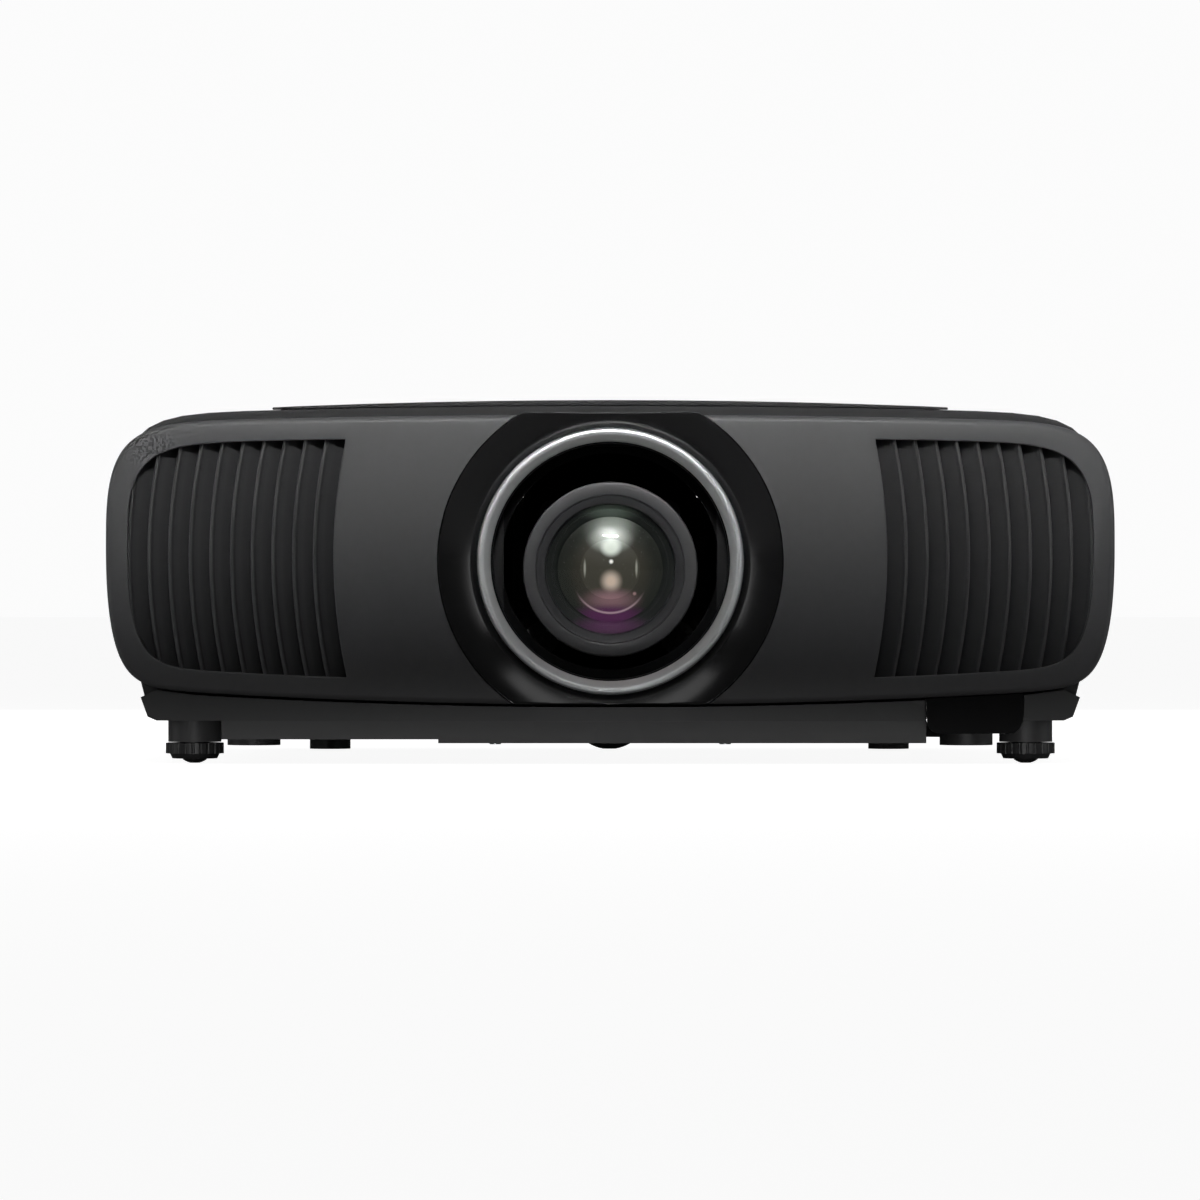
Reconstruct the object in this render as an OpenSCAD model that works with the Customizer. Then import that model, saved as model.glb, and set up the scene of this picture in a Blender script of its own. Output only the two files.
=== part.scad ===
// Home cinema projector: a long-throw three-panel laser projector.
// Frame: X across (viewer's right is +X), Y from the lens (-Y) to the socket side (+Y), Z up.
// The origin is the centre of the footprint on the surface it stands on. Millimetres.

/* [Body] */
// Overall width, at the front bezel
body_w = 520; // [516:1:524]
// Overall depth, bezel to rear cover
body_d = 447; // [445:1:449]
// Height of the crown of the top plate above the floor
crown_z = 191.5; // [190:0.5:194]
// Plan radius of the bowed front
front_r = 1400; // [1300:50:1600]
// Wall thickness of the moulded shells
wall = 2.2; // [2:0.1:2.4]

/* [Front grilles] */
// Louvres in each front grille
louvres = 9; // [7:1:9]
// Distance from one louvre to the next
louvre_pitch = 10.7; // [10.2:0.1:10.8]
// Radius of the bowed louvres, seen from the front
louvre_r = 285; // [270:5:320]

/* [Lens] */
// Lens axis above the floor, in the rest position
lens_z = 100; // [99:0.5:101]
// Centre of the round lens recess above the floor
recess_z = 104; // [103.5:0.5:104.5]
// Outer radius of the glossy surround
surround_r = 88.5; // [86:0.5:90]
// Outer radius of the front lens cell
cell_r = 45.3; // [44.5:0.1:45.6]
// Radius of the front glass
glass_r = 33; // [32:0.5:33]

/* [Drive] */
// Gear module of the focus and zoom drives
gear_m = 1; // [1:0.05:1.05]
// Width across a gear tooth, as a share of the pitch
tooth_share = 0.34; // [0.28:0.02:0.36]
// How far each shutter leaf travels
shutter_travel = 54.8; // [54:0.1:54.8]

/* [Feet] */
// Distance of the front feet from the centre line
foot_x = 214.8; // [212:0.4:216]
// Radius of the foot dial
dial_r = 15; // [14:0.5:15]

/* [Hidden] */
$fn = 72;

yf = -body_d / 2;
yr = body_d / 2;
a0 = body_w / 2;
zc = 112.2;
body_y0 = -166;
seam_z = 70;
cap_y = 205;
black = [0.045, 0.045, 0.048];
coal = [0.08, 0.08, 0.085];
dark = [0.13, 0.13, 0.14];
steel = [0.62, 0.63, 0.65];
alu = [0.72, 0.73, 0.75];

// ---- outlines -----------------------------------------------------------
// One quarter of a superellipse, as shares of its half-axes, from the side round to the middle.
function quarter(n, m) = concat(
  [for (t = [0, 8, 17, 27, 37, 47, 57, 66, 74, 81, 86, 89]) [pow(cos(t), 2 / n), pow(sin(t), 2 / m)]],
  [for (u = [0.5, 0.36, 0.24, 0.12]) [u, pow(1 - pow(u, n), 1 / m)]]);
qt = quarter(17.8, 3.09);
qb = quarter(30, 2.32);
function rev(v) = [for (i = [len(v) - 1:-1:0]) v[i]];
// The bezel's outline from the front, taken in by i.
function bez_top(i) = [for (q = qt) let (x = q[0] * (a0 - i)) [x, zc + (66.6 - i - 5.14e-5 * x * x) * q[1]]];
function bez_bot(i) = [for (q = qb) let (x = q[0] * (a0 - i)) [x, zc - (81.7 - i - 1.333e-4 * x * x) * q[1]]];
function mx(v) = [for (p = v) [-p[0], p[1]]];
function bez(i) = concat(bez_top(i), [[0, zc + 66.6 - i]], rev(mx(bez_top(i))),
  [for (k = [1:len(qb) - 1]) mx(bez_bot(i))[k]], [[0, zc - 81.7 + i]],
  [for (k = [len(qb) - 1:-1:1]) bez_bot(i)[k]]);
function bez_low(x) = zc - (81.7 - 1.333e-4 * x * x) * pow(1 - pow(abs(x) / a0, 30), 1 / 2.32);
// Half-width of the body in plan, and the body's side below its widest line.
function plan_w(y) = y < yr - 60 ? 1 : (a0 - 3 - 60 + sqrt(3600 - pow(y - yr + 60, 2))) / (a0 - 3);
function low_x(z) = a0 - 3 - 0.0342 * pow(zc - z, 1.395);
function crown_y(y) = -1.02e-4 * pow(y - 20, 2) - (y < yr - 24 ? 0 : 24 - sqrt(576 - pow(y - yr + 24, 2)));
// The body's outline at a station y, taken in by i, with its crest at z and its crown k.
function body_sec(y, i, crest, k) = let (w = (a0 - 3) * plan_w(y), f = plan_w(y))
  concat([for (q = qt) let (x = q[0] * (w - i)) [x, zc + (crest + crown_y(y) - zc - i - k * x * x) * q[1]]],
    [[0, crest + crown_y(y) - i]],
    rev([for (q = qt) let (x = q[0] * (w - i)) [-x, zc + (crest + crown_y(y) - zc - i - k * x * x) * q[1]]]),
    [for (z = [92, 70, 48, 30]) [-low_x(z) * f + i, z]], [[-low_x(25) * f + 1.2 + i, 24 + i * 0.6], [-low_x(22) * f + 5 + i, 22 + i]],
    [[low_x(22) * f - 5 - i, 22 + i], [low_x(25) * f - 1.2 - i, 24 + i * 0.6]], [for (z = [30, 48, 70, 92]) [low_x(z) * f - i, z]]);
stations = [body_y0, -80, 20, 110, 163.5, 185, cap_y];
cap_stations = [cap_y, 213, 219, 222.4, yr - 0.01];
cover_crest = crown_z - 3.1;

// ---- helpers ------------------------------------------------------------
module along_y(y0, y1) translate([0, y1, 0]) rotate([90, 0, 0]) linear_extrude(height = y1 - y0) children();
module box(x0, x1, y0, y1, z0, z1) translate([x0, y0, z0]) cube([x1 - x0, y1 - y0, z1 - z0]);
module cyl_y(x, z, y0, y1, r) translate([x, y1, z]) rotate([90, 0, 0]) cylinder(r = r, h = y1 - y0);
module cyl_x(y, z, x0, x1, r) translate([x0, y, z]) rotate([0, 90, 0]) cylinder(r = r, h = x1 - x0);
module cyl_z(x, y, z0, z1, r) translate([x, y, z0]) cylinder(r = r, h = z1 - z0);
// A solid turned about a Y axis through (x, z); points are [radius, y].
module turned(x, z, pts, from = 0, sweep = 360) translate([x, 0, z]) rotate([90, 0, 0]) rotate([0, 0, from])
  rotate_extrude(angle = sweep) polygon([for (p = pts) [p[0], -p[1]]]);
// Everything behind the bowed front face, taken back by i.
module behind_front(i) translate([0, yf + front_r, -5]) cylinder(r = front_r - i, h = 220, $fn = 256);
function front_y(x) = yf + x * x / (2 * front_r);
module loft(ys, i, crest, k) {
  pts = [for (y = ys) for (p = body_sec(y, i, crest, k)) [p[0], y, p[1]]];
  n = len(body_sec(ys[0], i, crest, k));
  hull() polyhedron(points = pts, faces = [for (j = [0:len(ys) - 1]) [for (m = [0:n - 1]) j * n + m]]);
}
module round_rect(w, h, r) {
  translate([-w / 2 + r, -h / 2]) square([w - 2 * r, h]);
  translate([-w / 2, -h / 2 + r]) square([w, h - 2 * r]);
  for (sx = [-1, 1], sy = [-1, 1]) translate([sx * (w / 2 - r), sy * (h / 2 - r)]) circle(r = r);
}
// A spur gear's outline: teeth with flat flanks, narrow enough to run with backlash.
function gear_pts(n, m, share) = [for (t = [0:n - 1]) for (q = [[-0.62, -1.2], [-0.40, 0.8], [0.40, 0.8], [0.62, -1.2]])
  let (r = n * m / 2 + q[1] * m, w = q[0] * 2 * share * 180 / n) [r * cos(t * 360 / n + w), r * sin(t * 360 / n + w)]];

// ---- front --------------------------------------------------------------
opening_x = 142;
module opening_2d(s, grow) intersection() {
  difference() {
    polygon(bez(11.5 - grow));
    translate([s * (opening_x - louvre_r - grow), 106.6]) circle(r = louvre_r, $fn = 256);
  }
  translate([s > 0 ? 100 : -300, 20]) square([200, 180]);
}
module front_bezel() color(coal) difference() {
  intersection() { along_y(yf - 5, -168) polygon(bez(0)); behind_front(0); }
  intersection() { along_y(yf - 5, -160) polygon(bez(wall)); behind_front(wall); }
  cyl_y(0, recess_z, yf - 5, -203.4, surround_r + 0.3);
  for (s = [-1, 1]) along_y(yf - 5, -195) opening_2d(s, 0);
}
module slat(s, i) {
  x = opening_x + (louvre_pitch * (i + 1));
  y = front_y(x) + 2.2;
  r = louvre_r;
  turned(s * (x - r), 106.6, [[r, y], [r + 0.1, y + 2.4], [r - 9.9, y + 8.6], [r - 10.25, y + 6.9], [r - 1.5, y + 0.1]],
    s > 0 ? -17 : 163, 34);
}
module grille(s) color(dark) {
  intersection() {
    along_y(yf, -180) opening_2d(s, 0.9);
    union() for (i = [0:louvres]) slat(s, i);
  }
  difference() {
    intersection() { along_y(yf, -192) opening_2d(s, 3.5); behind_front(wall + 0.1); }
    intersection() { along_y(yf - 2, -185) opening_2d(s, 0.4); behind_front(0); }
    behind_front(17);
  }
}
module grille_left() grille(-1);
module grille_right() grille(1);
module lens_surround() color(black) intersection() {
  turned(0, recess_z, [[68.9, -203.5], [68.9, -206.4], [88.2, -225.5], [surround_r, -225.5], [surround_r, -203.5]]);
  along_y(yf - 5, -200) polygon(bez(-0.6));
  behind_front(0);
}
module lens_trim_ring() color(alu)
  turned(0, recess_z, [[61.6, -201.2], [61.6, -203.6], [64.9, -208.6], [66.0, -209.6], [67.4, -209.9], [68.4, -209.3], [68.7, -208.2], [68.7, -201.2]]);
module lens_well() color(black) {
  turned(0, recess_z, [[61, -193.6], [61, -201], [70.6, -201], [70.6, -199.5], [62.6, -199.5], [62.6, -193.6]]);
}

// ---- shutter ------------------------------------------------------------
sp_z = 169.8;
sm = 0.8;
sn = 9;
sp_r = sm * sn / 2;
sp_pitch = PI * sm;
module shutter_frame() color(black) {
  difference() {
    box(-126, 126, -189.4, -187.9, 37, 162.6);
    cyl_y(0, recess_z, -191, -186, 56);
  }
  difference() { box(-126, 126, -193.2, -189.4, 37, 41); box(-127, 127, -192.4, -190.4, 39, 42); }
  for (s = [-1, 1]) box(s * 122 - 4, s * 122 + 4, -187.9, -151.5, 60, 70);
}
// A rack tooth row along X, teeth pointing to sign s, its pitch line at z.
module rack(x0, x1, z, s, y0, y1, phase) {
  n = floor((x1 - x0) / sp_pitch);
  along_y(y0, y1) polygon(concat([[x0, z - s * 2.8], [x0, z - s * sm]],
    [for (i = [ceil((x0 - phase) / sp_pitch + 0.6):floor((x1 - phase) / sp_pitch - 0.6)]) for (q = [[-0.62, -1], [-0.4, 0.8], [0.4, 0.8], [0.62, -1]])
      [phase + i * sp_pitch + q[0] * tooth_share * sp_pitch, z + s * q[1] * sm]], [[x1, z - s * sm], [x1, z - s * 2.8]]));
}
module shutter_right() color(black) {
  box(55, 118, -192.2, -190.6, 39.5, 166.5);
  box(60, 68, -190.6, -184.4, 163.4, 165.4);
  rack(-9, 68, sp_z - sp_r, 1, -187.4, -184.4, sp_pitch / 2);
}
module shutter_left() color(black) {
  box(-118, -55, -192.2, -190.6, 39.5, 166.5);
  box(-68, -60, -192.2, -190.6, 166.5, 176.0);
  box(-68, -60, -190.6, -179.4, 174.2, 176.0);
  rack(-68, 9, sp_z + sp_r, -1, -182.4, -179.4, 0);
}
module shutter_pinion() color([0.85, 0.83, 0.76]) difference() {
  translate([0, 0, sp_z]) translate([0, -179.2, 0]) rotate([90, 0, 0]) linear_extrude(height = 8.4) rotate([0, 0, 90 + 180 / sn]) polygon(gear_pts(sn, sm, tooth_share));
  cyl_y(0, sp_z, -189, -178, 1.03);
}
module shutter_motor() color(steel) {
  cyl_y(0, sp_z, -178.4, -160, 5.8);
  cyl_y(0, sp_z, -187.4, -178.4, 1);
  box(-16, 16, -160, -158.6, 161.5, 176);
}

// ---- shells -------------------------------------------------------------
fil = [-118, 46, 52, 150];
door = [28, 138, 92, 146];
module top_cover() color(coal) difference() {
  union() {
    difference() {
      loft(stations, 0, cover_crest, 6.6e-5);
      loft([for (y = stations) y == body_y0 ? y - 0.2 : (y == cap_y ? y + 0.2 : y)], wall, cover_crest, 6.6e-5);
    }
    for (y = [door[0] - 4, door[1] + 0.2]) box(door_axis[0] - 3, door_axis[0] + 0.6, y, y + 3.8, door_axis[1] - 3, door_axis[1] + 3);
    // the front wall that closes the step down to the bezel
    intersection() {
      difference() {
        along_y(body_y0 + 0.2, body_y0 + 2.4) polygon(body_sec(body_y0, 1.1, cover_crest, 6.6e-5));
        along_y(body_y0 - 1, body_y0 + 4) polygon(bez(6.5));
        cyl_y(0, 169.8, body_y0 - 1, body_y0 + 4, 6.8);
      }
      box(-300, 300, -200, -100, 150, 200);
    }
  }
  box(-300, 300, -260, 260, -1, seam_z + 0.25);
  box(-300, -200, fil[0], fil[1], seam_z - 5, fil[3]);
  box(200, 300, door[0], door[1], door[2] - 0.5, door[3]);
  for (y = [door[0] - 5, door[1]]) cyl_y(door_axis[0], door_axis[1], y - 0.01, y + 5.01, 0.95);
}
door_axis = [low_x(door[2]) - 1.2, door[2] + 1.45];
// The raised plate follows the crown and stands on the cover.
module top_plate() color(black) difference() {
  intersection() {
    loft([-158, -80, 20, 110, 163.5, 180], 0, crown_z, 1.2e-4);
    box(-176, 176, -170, 190, 150, 200);
  }
  loft([-160, -80, 20, 110, 163.5, 190], -0.1, cover_crest, 6.6e-5);
}
module chin_2d(g) polygon(concat(
  [[-low_x(22) + 5, 22], [-low_x(25) + 1.2, 24], [-low_x(34), 34]],
  [for (x = [-234:19.5:234]) [x, bez_low(x) - g]],
  [[low_x(34), 34], [low_x(25) - 1.2, 24], [low_x(22) - 5, 22]]));
module window_2d(g, top) polygon(concat([[161.4 - g, top], [162.4 - g, 24]],
  [for (t = [180:15:270]) [169.5 + g * cos(t) + 7.3 * cos(t), 22.7 + (g + 7.3) * sin(t)]],
  [for (t = [270:15:360]) [204.7 + (g + 7.3) * cos(t), 22.7 + (g + 7.3) * sin(t)]],
  [[212.2 + g, 24], [213.6 + g, top]]));
module bottom_case() color(coal) difference() {
  union() {
    difference() {
      loft(stations, 0, cover_crest, 6.6e-5);
      loft([for (y = stations) y == body_y0 ? y + 2 : (y == cap_y ? y + 0.2 : y)], wall, cover_crest, 6.6e-5);
      box(-300, 300, -260, 260, seam_z - 0.25, 220);
      box(-300, 300, -260, body_y0 + 2.2, 46, 220);
      box(-300, -200, fil[0], fil[1], fil[2], seam_z + 5);
      box(-199.8, -91, -163.8, 187.8, 14.2, 30);
      box(-87, 161.3, -163.8, 187.8, 12.2, 30);
    }
    intersection() { along_y(yf, body_y0) chin_2d(1.4); behind_front(5); }
    difference() {
      union() { box(-202, -89, -184, 190, 12, 23); box(-89.01, 163.5, -184, 190, 10, 23); }
      box(-199.8, -91, -181.8, 187.8, 14.2, 30);
      box(-87, 161.3, -181.8, 187.8, 12.2, 30);
    }
    for (x = [-150, 150]) cyl_z(x, 182, x < 0 ? 13 : 11, 22, 4);
    for (x = [-60, 60]) cyl_z(x, -150, 11, 22, 4);
    for (s = [-1, 1]) {
      translate([s * foot_x, -185, 10.9]) cylinder(r = 13.75, h = 12);
      cyl_z(s * foot_x, -185, 20, 35, 8);
      for (y = [-110, 110]) cyl_z(s * 188, y, 7.6, 40, 14);
      cyl_z(s * 158, 150, 6, 23, 13.6);
    }
    cyl_z(0, 150, 6, 23, 19);
  }
  intersection() {
    along_y(yf, body_y0 + 0.1) offset_chin();
    behind_front(7.4);
  }
  along_y(yf - 5, -190) window_2d(0.5, 60);
  for (s = [-1, 1]) {
    cyl_z(s * foot_x, -185, 5, 50, 4.05);
    for (y = [-110, 110]) { cyl_z(s * 188, y, 5, 30, 4.2); }
    cyl_z(s * 158, 150, 5, 12, 11.6);
  }
  cyl_z(0, 150, 5, 12, 17);
  for (p = screw_at) cyl_z(p[0], p[1], 5, 20.5, 1.6);
  for (p = screw_at) if (abs(p[0]) > 205) cyl_z(p[0], p[1], 5, 26, 1.6);
}
module offset_chin() difference() {
  polygon(concat([[-low_x(25) + 5, 24.4]], [for (x = [-231:21:231]) [x, bez_low(x) - 3.4]], [[low_x(25) - 5, 24.4]]));
  for (s = [-1, 1]) translate([s * foot_x, 30]) square([32, 40], center = true);
}
module sensor_window() color([0.01, 0.01, 0.01]) intersection() {
  difference() { along_y(yf, -190) window_2d(0, 60); along_y(yf - 5, -180) polygon(concat([for (x = [150:6:230]) [x, bez_low(x) - 0.6]], [[230, 80], [150, 80]])); }
  difference() { behind_front(3.2); behind_front(6.4); }
}
rv = [-172, 172, 112, 158];
io = [-176, 118, 44, 94];
module rear_cover() color(coal) difference() {
  union() {
    difference() {
      loft(cap_stations, 0, cover_crest, 6.6e-5);
      loft([for (y = cap_stations) y - (y == cap_y ? 0.2 : 2.4)], wall, cover_crest, 6.6e-5);
    }
    box(io[0] - 3, io[1] + 3, 214, 221.3, io[2] - 3, io[3] + 3);
  }
  for (k = [0:8]) for (c = [[-172, -60], [-56, 56], [60, 172]]) box(c[0], c[1], 210, 230, rv[2] + k * 5.2, rv[2] + k * 5.2 + 2.6);
  box(io[0], io[1], 200, 230, io[2], io[3]);
  box(134, 182, 200, 230, 50, 84);
}
module filter_cover() color(dark) difference() {
  intersection() {
    difference() {
      loft([-130, 20, 60], 0, cover_crest, 6.6e-5);
      loft([-131, 20, 61], 2.2, cover_crest, 6.6e-5);
    }
    box(-300, -200, fil[0] + 0.4, fil[1] - 0.4, fil[2] + 0.4, fil[3] - 0.4);
  }
  for (k = [0:12]) box(-300, -200, fil[0] + 12, fil[1] - 12, fil[2] + 10 + k * 6.2, fil[2] + 13.2 + k * 6.2);
}
module air_filter() color([0.55, 0.56, 0.58]) {
  difference() {
    box(-242, -232, fil[0] + 6, fil[1] - 6, fil[2] + 14, fil[3] - 8);
    box(-243, -231, fil[0] + 10, fil[1] - 10, fil[2] + 18, fil[3] - 12);
  }
  for (k = [0:22]) box(-241, -233, fil[0] + 10 + k * 6.3, fil[0] + 12 + k * 6.3, fil[2] + 17.5, fil[3] - 11.5);
  for (y = [fil[0] + 16, fil[1] - 20]) box(-252.4, -241, y, y + 3, 107, 110);
}
module panel_door() color(coal) {
  difference() {
    intersection() {
      difference() {
        loft([0, 100, 163], 0, cover_crest, 6.6e-5);
        loft([-1, 100, 164], 2.4, cover_crest, 6.6e-5);
      }
      box(200, 300, door[0] + 0.5, door[1] - 0.5, door_axis[1], door[3] - 0.5);
    }
    box(200, 300, 70, 96, door[3] - 4, door[3] + 1);
  }
  cyl_y(door_axis[0], door_axis[1], door[0] + 0.5, door[1] - 0.5, 1.25);
  cyl_y(door_axis[0], door_axis[1], door[0] - 3, door[1] + 3, 0.9);
}
module keypad_plate() color(black) difference() {
  box(232, 251.2, door[0] + 0.3, door[1] - 0.3, 88, 150);
  box(235, 252, door[0] + 2.3, door[1] - 2.3, 94, 144);
  cyl_x(54, 119, 230, 236, 7.3);
  cyl_x(93, 119, 230, 236, 16.7);
  for (z = [108, 130]) cyl_x(122, z, 230, 236, 5.3);
}
module button(y, z, r) { cyl_x(y, z, 230, 241, r); cyl_x(y, z, 228.5, 231.9, r + 1.5); }
module power_button() color([0.2, 0.2, 0.21]) button(54, 119, 7);
module nav_ring() color([0.2, 0.2, 0.21]) difference() {
  union() {
    cyl_x(93, 119, 230, 240, 16);
    cyl_x(93, 119, 229, 231, 18);
    cyl_y(230, 119, 72.4, 76.5, 0.9);
    cyl_y(230, 119, 109.5, 113.6, 0.9);
  }
  cyl_x(93, 119, 220, 245, 6.9);
}
module enter_button() color([0.2, 0.2, 0.21]) { cyl_x(93, 119, 227.5, 240.5, 6.2); cyl_x(93, 119, 225.5, 227.6, 8); }
module menu_button() color([0.2, 0.2, 0.21]) button(122, 130, 5);
module back_button() color([0.2, 0.2, 0.21]) button(122, 108, 5);

// ---- sockets ------------------------------------------------------------
// Mouth centres: [x, z]; the panel's outer face is at y = 214.
vid = [[-148, 62], [-118, 62]];
dat = [[-86, 61], [-66, 61]];
net = [-36, 63];
ser = [8, 64];
trg = [46, 60];
acp = [158, 67];
module interface_panel() color(black) difference() {
  box(io[0] - 4, io[1] + 4, 212.5, 214, io[2] - 4, io[3] + 4);
  for (p = vid) box(p[0] - 8.2, p[0] + 8.2, 210, 216, p[1] - 3.8, p[1] + 3.8);
  for (p = dat) box(p[0] - 7.2, p[0] + 7.2, 210, 216, p[1] - 3.9, p[1] + 3.9);
  box(net[0] - 8.7, net[0] + 8.7, 210, 216, net[1] - 7.2, net[1] + 7.2);
  box(ser[0] - 13, ser[0] + 13, 210, 216, ser[1] - 6, ser[1] + 6);
  cyl_y(trg[0], trg[1], 210, 216, 4.2);
}
module video_sockets() color(steel) for (p = vid) difference() {
  box(p[0] - 7.9, p[0] + 7.9, 201, 214.6, p[1] - 3.5, p[1] + 3.5);
  box(p[0] - 7.2, p[0] + 7.2, 203, 215, p[1] - 2.8, p[1] + 2.8);
}
module data_sockets() color(steel) for (p = dat) difference() {
  box(p[0] - 6.9, p[0] + 6.9, 198, 214.6, p[1] - 3.6, p[1] + 3.6);
  box(p[0] - 6.3, p[0] + 6.3, 200, 215, p[1] - 3, p[1] + 3);
}
module network_socket() color(steel) difference() {
  box(net[0] - 8.4, net[0] + 8.4, 194, 214.8, net[1] - 6.9, net[1] + 6.9);
  box(net[0] - 6, net[0] + 6, 197, 216, net[1] - 4.2, net[1] + 4.6);
}
module serial_port() color(steel) {
  difference() {
    along_y(200, 219) translate(ser) polygon([[-10.5, 4.8], [10.5, 4.8], [9.3, -4.8], [-9.3, -4.8]]);
    along_y(213.2, 220) translate(ser) polygon([[-9.7, 4.1], [9.7, 4.1], [8.7, -4.1], [-8.7, -4.1]]);
  }
  for (s = [-1, 1]) cyl_y(ser[0] + s * 11.7, ser[1], 214, 216.4, 0.9);
  for (i = [0:4]) cyl_y(ser[0] + (i - 2) * 2.76, ser[1] + 1.42, 212, 218, 0.5);
  for (i = [0:3]) cyl_y(ser[0] + (i - 1.5) * 2.76, ser[1] - 1.42, 212, 218, 0.5);
}
module trigger_jack() color(black) difference() {
  union() { cyl_y(trg[0], trg[1], 198, 215.2, 4); box(trg[0] - 5, trg[0] + 5, 198, 212, trg[1] - 5, trg[1] + 5); }
  cyl_y(trg[0], trg[1], 201, 216, 1.8);
}
module mains_inlet() color(black) difference() {
  union() {
    along_y(196, 223) translate(acp) polygon([[-13.6, -10], [13.6, -10], [13.6, 5], [8.8, 10], [-8.8, 10], [-13.6, 5]]);
    box(acp[0] - 25, acp[0] + 25, 219.3, 221, acp[1] - 18.5, acp[1] + 18.5);
  }
  along_y(204, 224) translate(acp) polygon([[-11.8, -8.2], [11.8, -8.2], [11.8, 4.3], [8, 8.2], [-8, 8.2], [-11.8, 4.3]]);
}

// ---- feet and fixings ---------------------------------------------------
module foot_pad(s) color([0.03, 0.03, 0.03]) intersection() {
  union() {
    cyl_z(s * foot_x, -185, 1.9, 8, 2.5);
    intersection() { translate([s * foot_x, -185, 9.9]) sphere(r = 10.2); cyl_z(s * foot_x, -185, -1, 2.0, 6.3); }
  }
  cyl_z(s * foot_x, -185, 0, 12, 9);
}
module foot_dial(s) color(dark) difference() {
  union() {
    difference() {
      cyl_z(s * foot_x, -185, 4.9, 10.4, dial_r);
      for (t = [0:15:345]) translate([s * foot_x + (dial_r + 0.7) * cos(t), -185 + (dial_r + 0.7) * sin(t), 4]) cylinder(r = 1.2, h = 8);
    }
    translate([s * foot_x, -185, 2.3]) cylinder(r1 = 11.6, r2 = 12.9, h = 2.7);
    cyl_z(s * foot_x, -185, 8, 34.2, 4);
  }
  cyl_z(s * foot_x, -185, 1, 8.6, 2.58);
  cyl_z(s * foot_x, -185, 1, 2.6, 7);
}
module foot_left_pad() foot_pad(-1);
module foot_left_dial() foot_dial(-1);
module foot_right_pad() foot_pad(1);
module foot_right_dial() foot_dial(1);
module rear_feet() color([0.03, 0.03, 0.03]) {
  for (s = [-1, 1]) cyl_z(s * 158, 150, 0, 12, 11.5);
  intersection() { translate([0, 150, 22.5]) sphere(r = 22.8); cyl_z(0, 150, 0, 12, 16.9); }
}
module mount_inserts() color([0.72, 0.58, 0.3]) for (s = [-1, 1], y = [-110, 110]) difference() {
  cyl_z(s * 188, y, 7.8, 24, 4.2);
  cyl_z(s * 188, y, 7, 25, 2.6);
}
screw_at = [[-225, -60], [-225, 90], [225, -60], [225, 90], [-150, 182], [150, 182], [-60, -150], [60, -150]];
module case_screws() color(steel) for (p = screw_at) difference() {
  union() { cyl_z(p[0], p[1], zlow(p) - 1.2, zlow(p), 3); cyl_z(p[0], p[1], zlow(p) - 0.01, zlow(p) + (abs(p[0]) > 205 ? 2 : 8), 1.5); }
  cyl_z(p[0], p[1], zlow(p) - 1.3, zlow(p) - 0.4, 1.1);
}
function zlow(p) = abs(p[0]) > 205 ? 22 : p[0] < -89 ? 12 : p[0] > 163.5 ? 22 : 10;

// ---- inside -------------------------------------------------------------
module base_chassis() color(steel) difference() {
  union() {
    box(-218, 218, -160, 192, 24.3, 25.8);
    for (s = [-1, 1]) box(s * 217.25 - 0.75, s * 217.25 + 0.75, -150, 180, 25.7, 38);
    for (p = [[-100, 50], [100, 50], [-100, 190], [100, 190], [0, 120]]) cyl_z(p[0], p[1], 25.7, 48, 3.5);
    for (p = [[-50, 20], [130, 20], [-50, 96], [130, 96]]) cyl_z(p[0], p[1], 25.7, 64, 4);
    for (x = [166, 204], y = [34, 102]) cyl_z(x, y, 25.7, 62, 4);
    for (s = [-1, 1]) { box(s * 78 - 8, s * 78 + 8, -60, -54, 25.7, 36); box(s * 122 - 5, s * 122 + 5, -151.5, -150, 25.7, 71); }
    for (x = [-192, 192]) box(max(x - 46, -218), min(x + 46, 218), -133.5, -132.05, 25.7, 52);
    box(148, 216, -122, -118, 25.7, 46);
    for (x = [-210, -144], y = [-62, 22]) cyl_z(x, y, 25.7, 60, 3);
  }
  for (s = [-1, 1], y = [-110, 110]) cyl_z(s * 188, y, 20, 50, 14.5);
  for (x = [-40, 40], y = [-100, 160]) cyl_z(x, y, 20, 30, 12);
}
module shift_frame() color(alu) {
  difference() {
    box(-86, 86, -60, -54, 36, 176);
    box(-60, 60, -62, -50, 50, 162);
  }
  for (s = [-1, 1]) {
    cyl_z(s * 74, -67, 38, 174, 3);
    for (z = [36, 172]) box(s * 74 - 6, s * 74 + 6, -73, -59.9, z, z + 4);
  }
}
module shift_v_plate() color(alu) {
  difference() {
    union() {
      box(-82, 82, -69.6, -64.4, 46, 154);
      for (s = [-1, 1]) box(s * 74 - 7, s * 74 + 7, -74, -61.5, 60, 140);
    }
    box(-52, 52, -75, -60, 56, 148);
    for (s = [-1, 1]) cyl_z(s * 74, -67, 30, 180, 3.06);
  }
  for (z = [50, 150]) {
    cyl_x(-75, z, -64, 64, 2.5);
    for (s = [-1, 1]) box(s * 62 - 3, s * 62 + 3, -78.4, -69.5, z - 4, z + 4);
  }
}
module shift_h_plate() color(alu) difference() {
  union() {
    box(-46, 46, -82, -77.6, 44, 156);
    for (z = [50, 150]) box(-44, 44, -82, -71, z - 5.5, z + 5.5);
  }
  cyl_y(0, lens_z, -90, -60, 38.4);
  for (z = [50, 150]) cyl_x(-75, z, -60, 60, 2.56);
}
fp_a = 225;
zp_a = 315;
ring_n = 90;
pin_n = 12;
pin_d = (ring_n + pin_n) / 2 * gear_m + 0.12;
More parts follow.
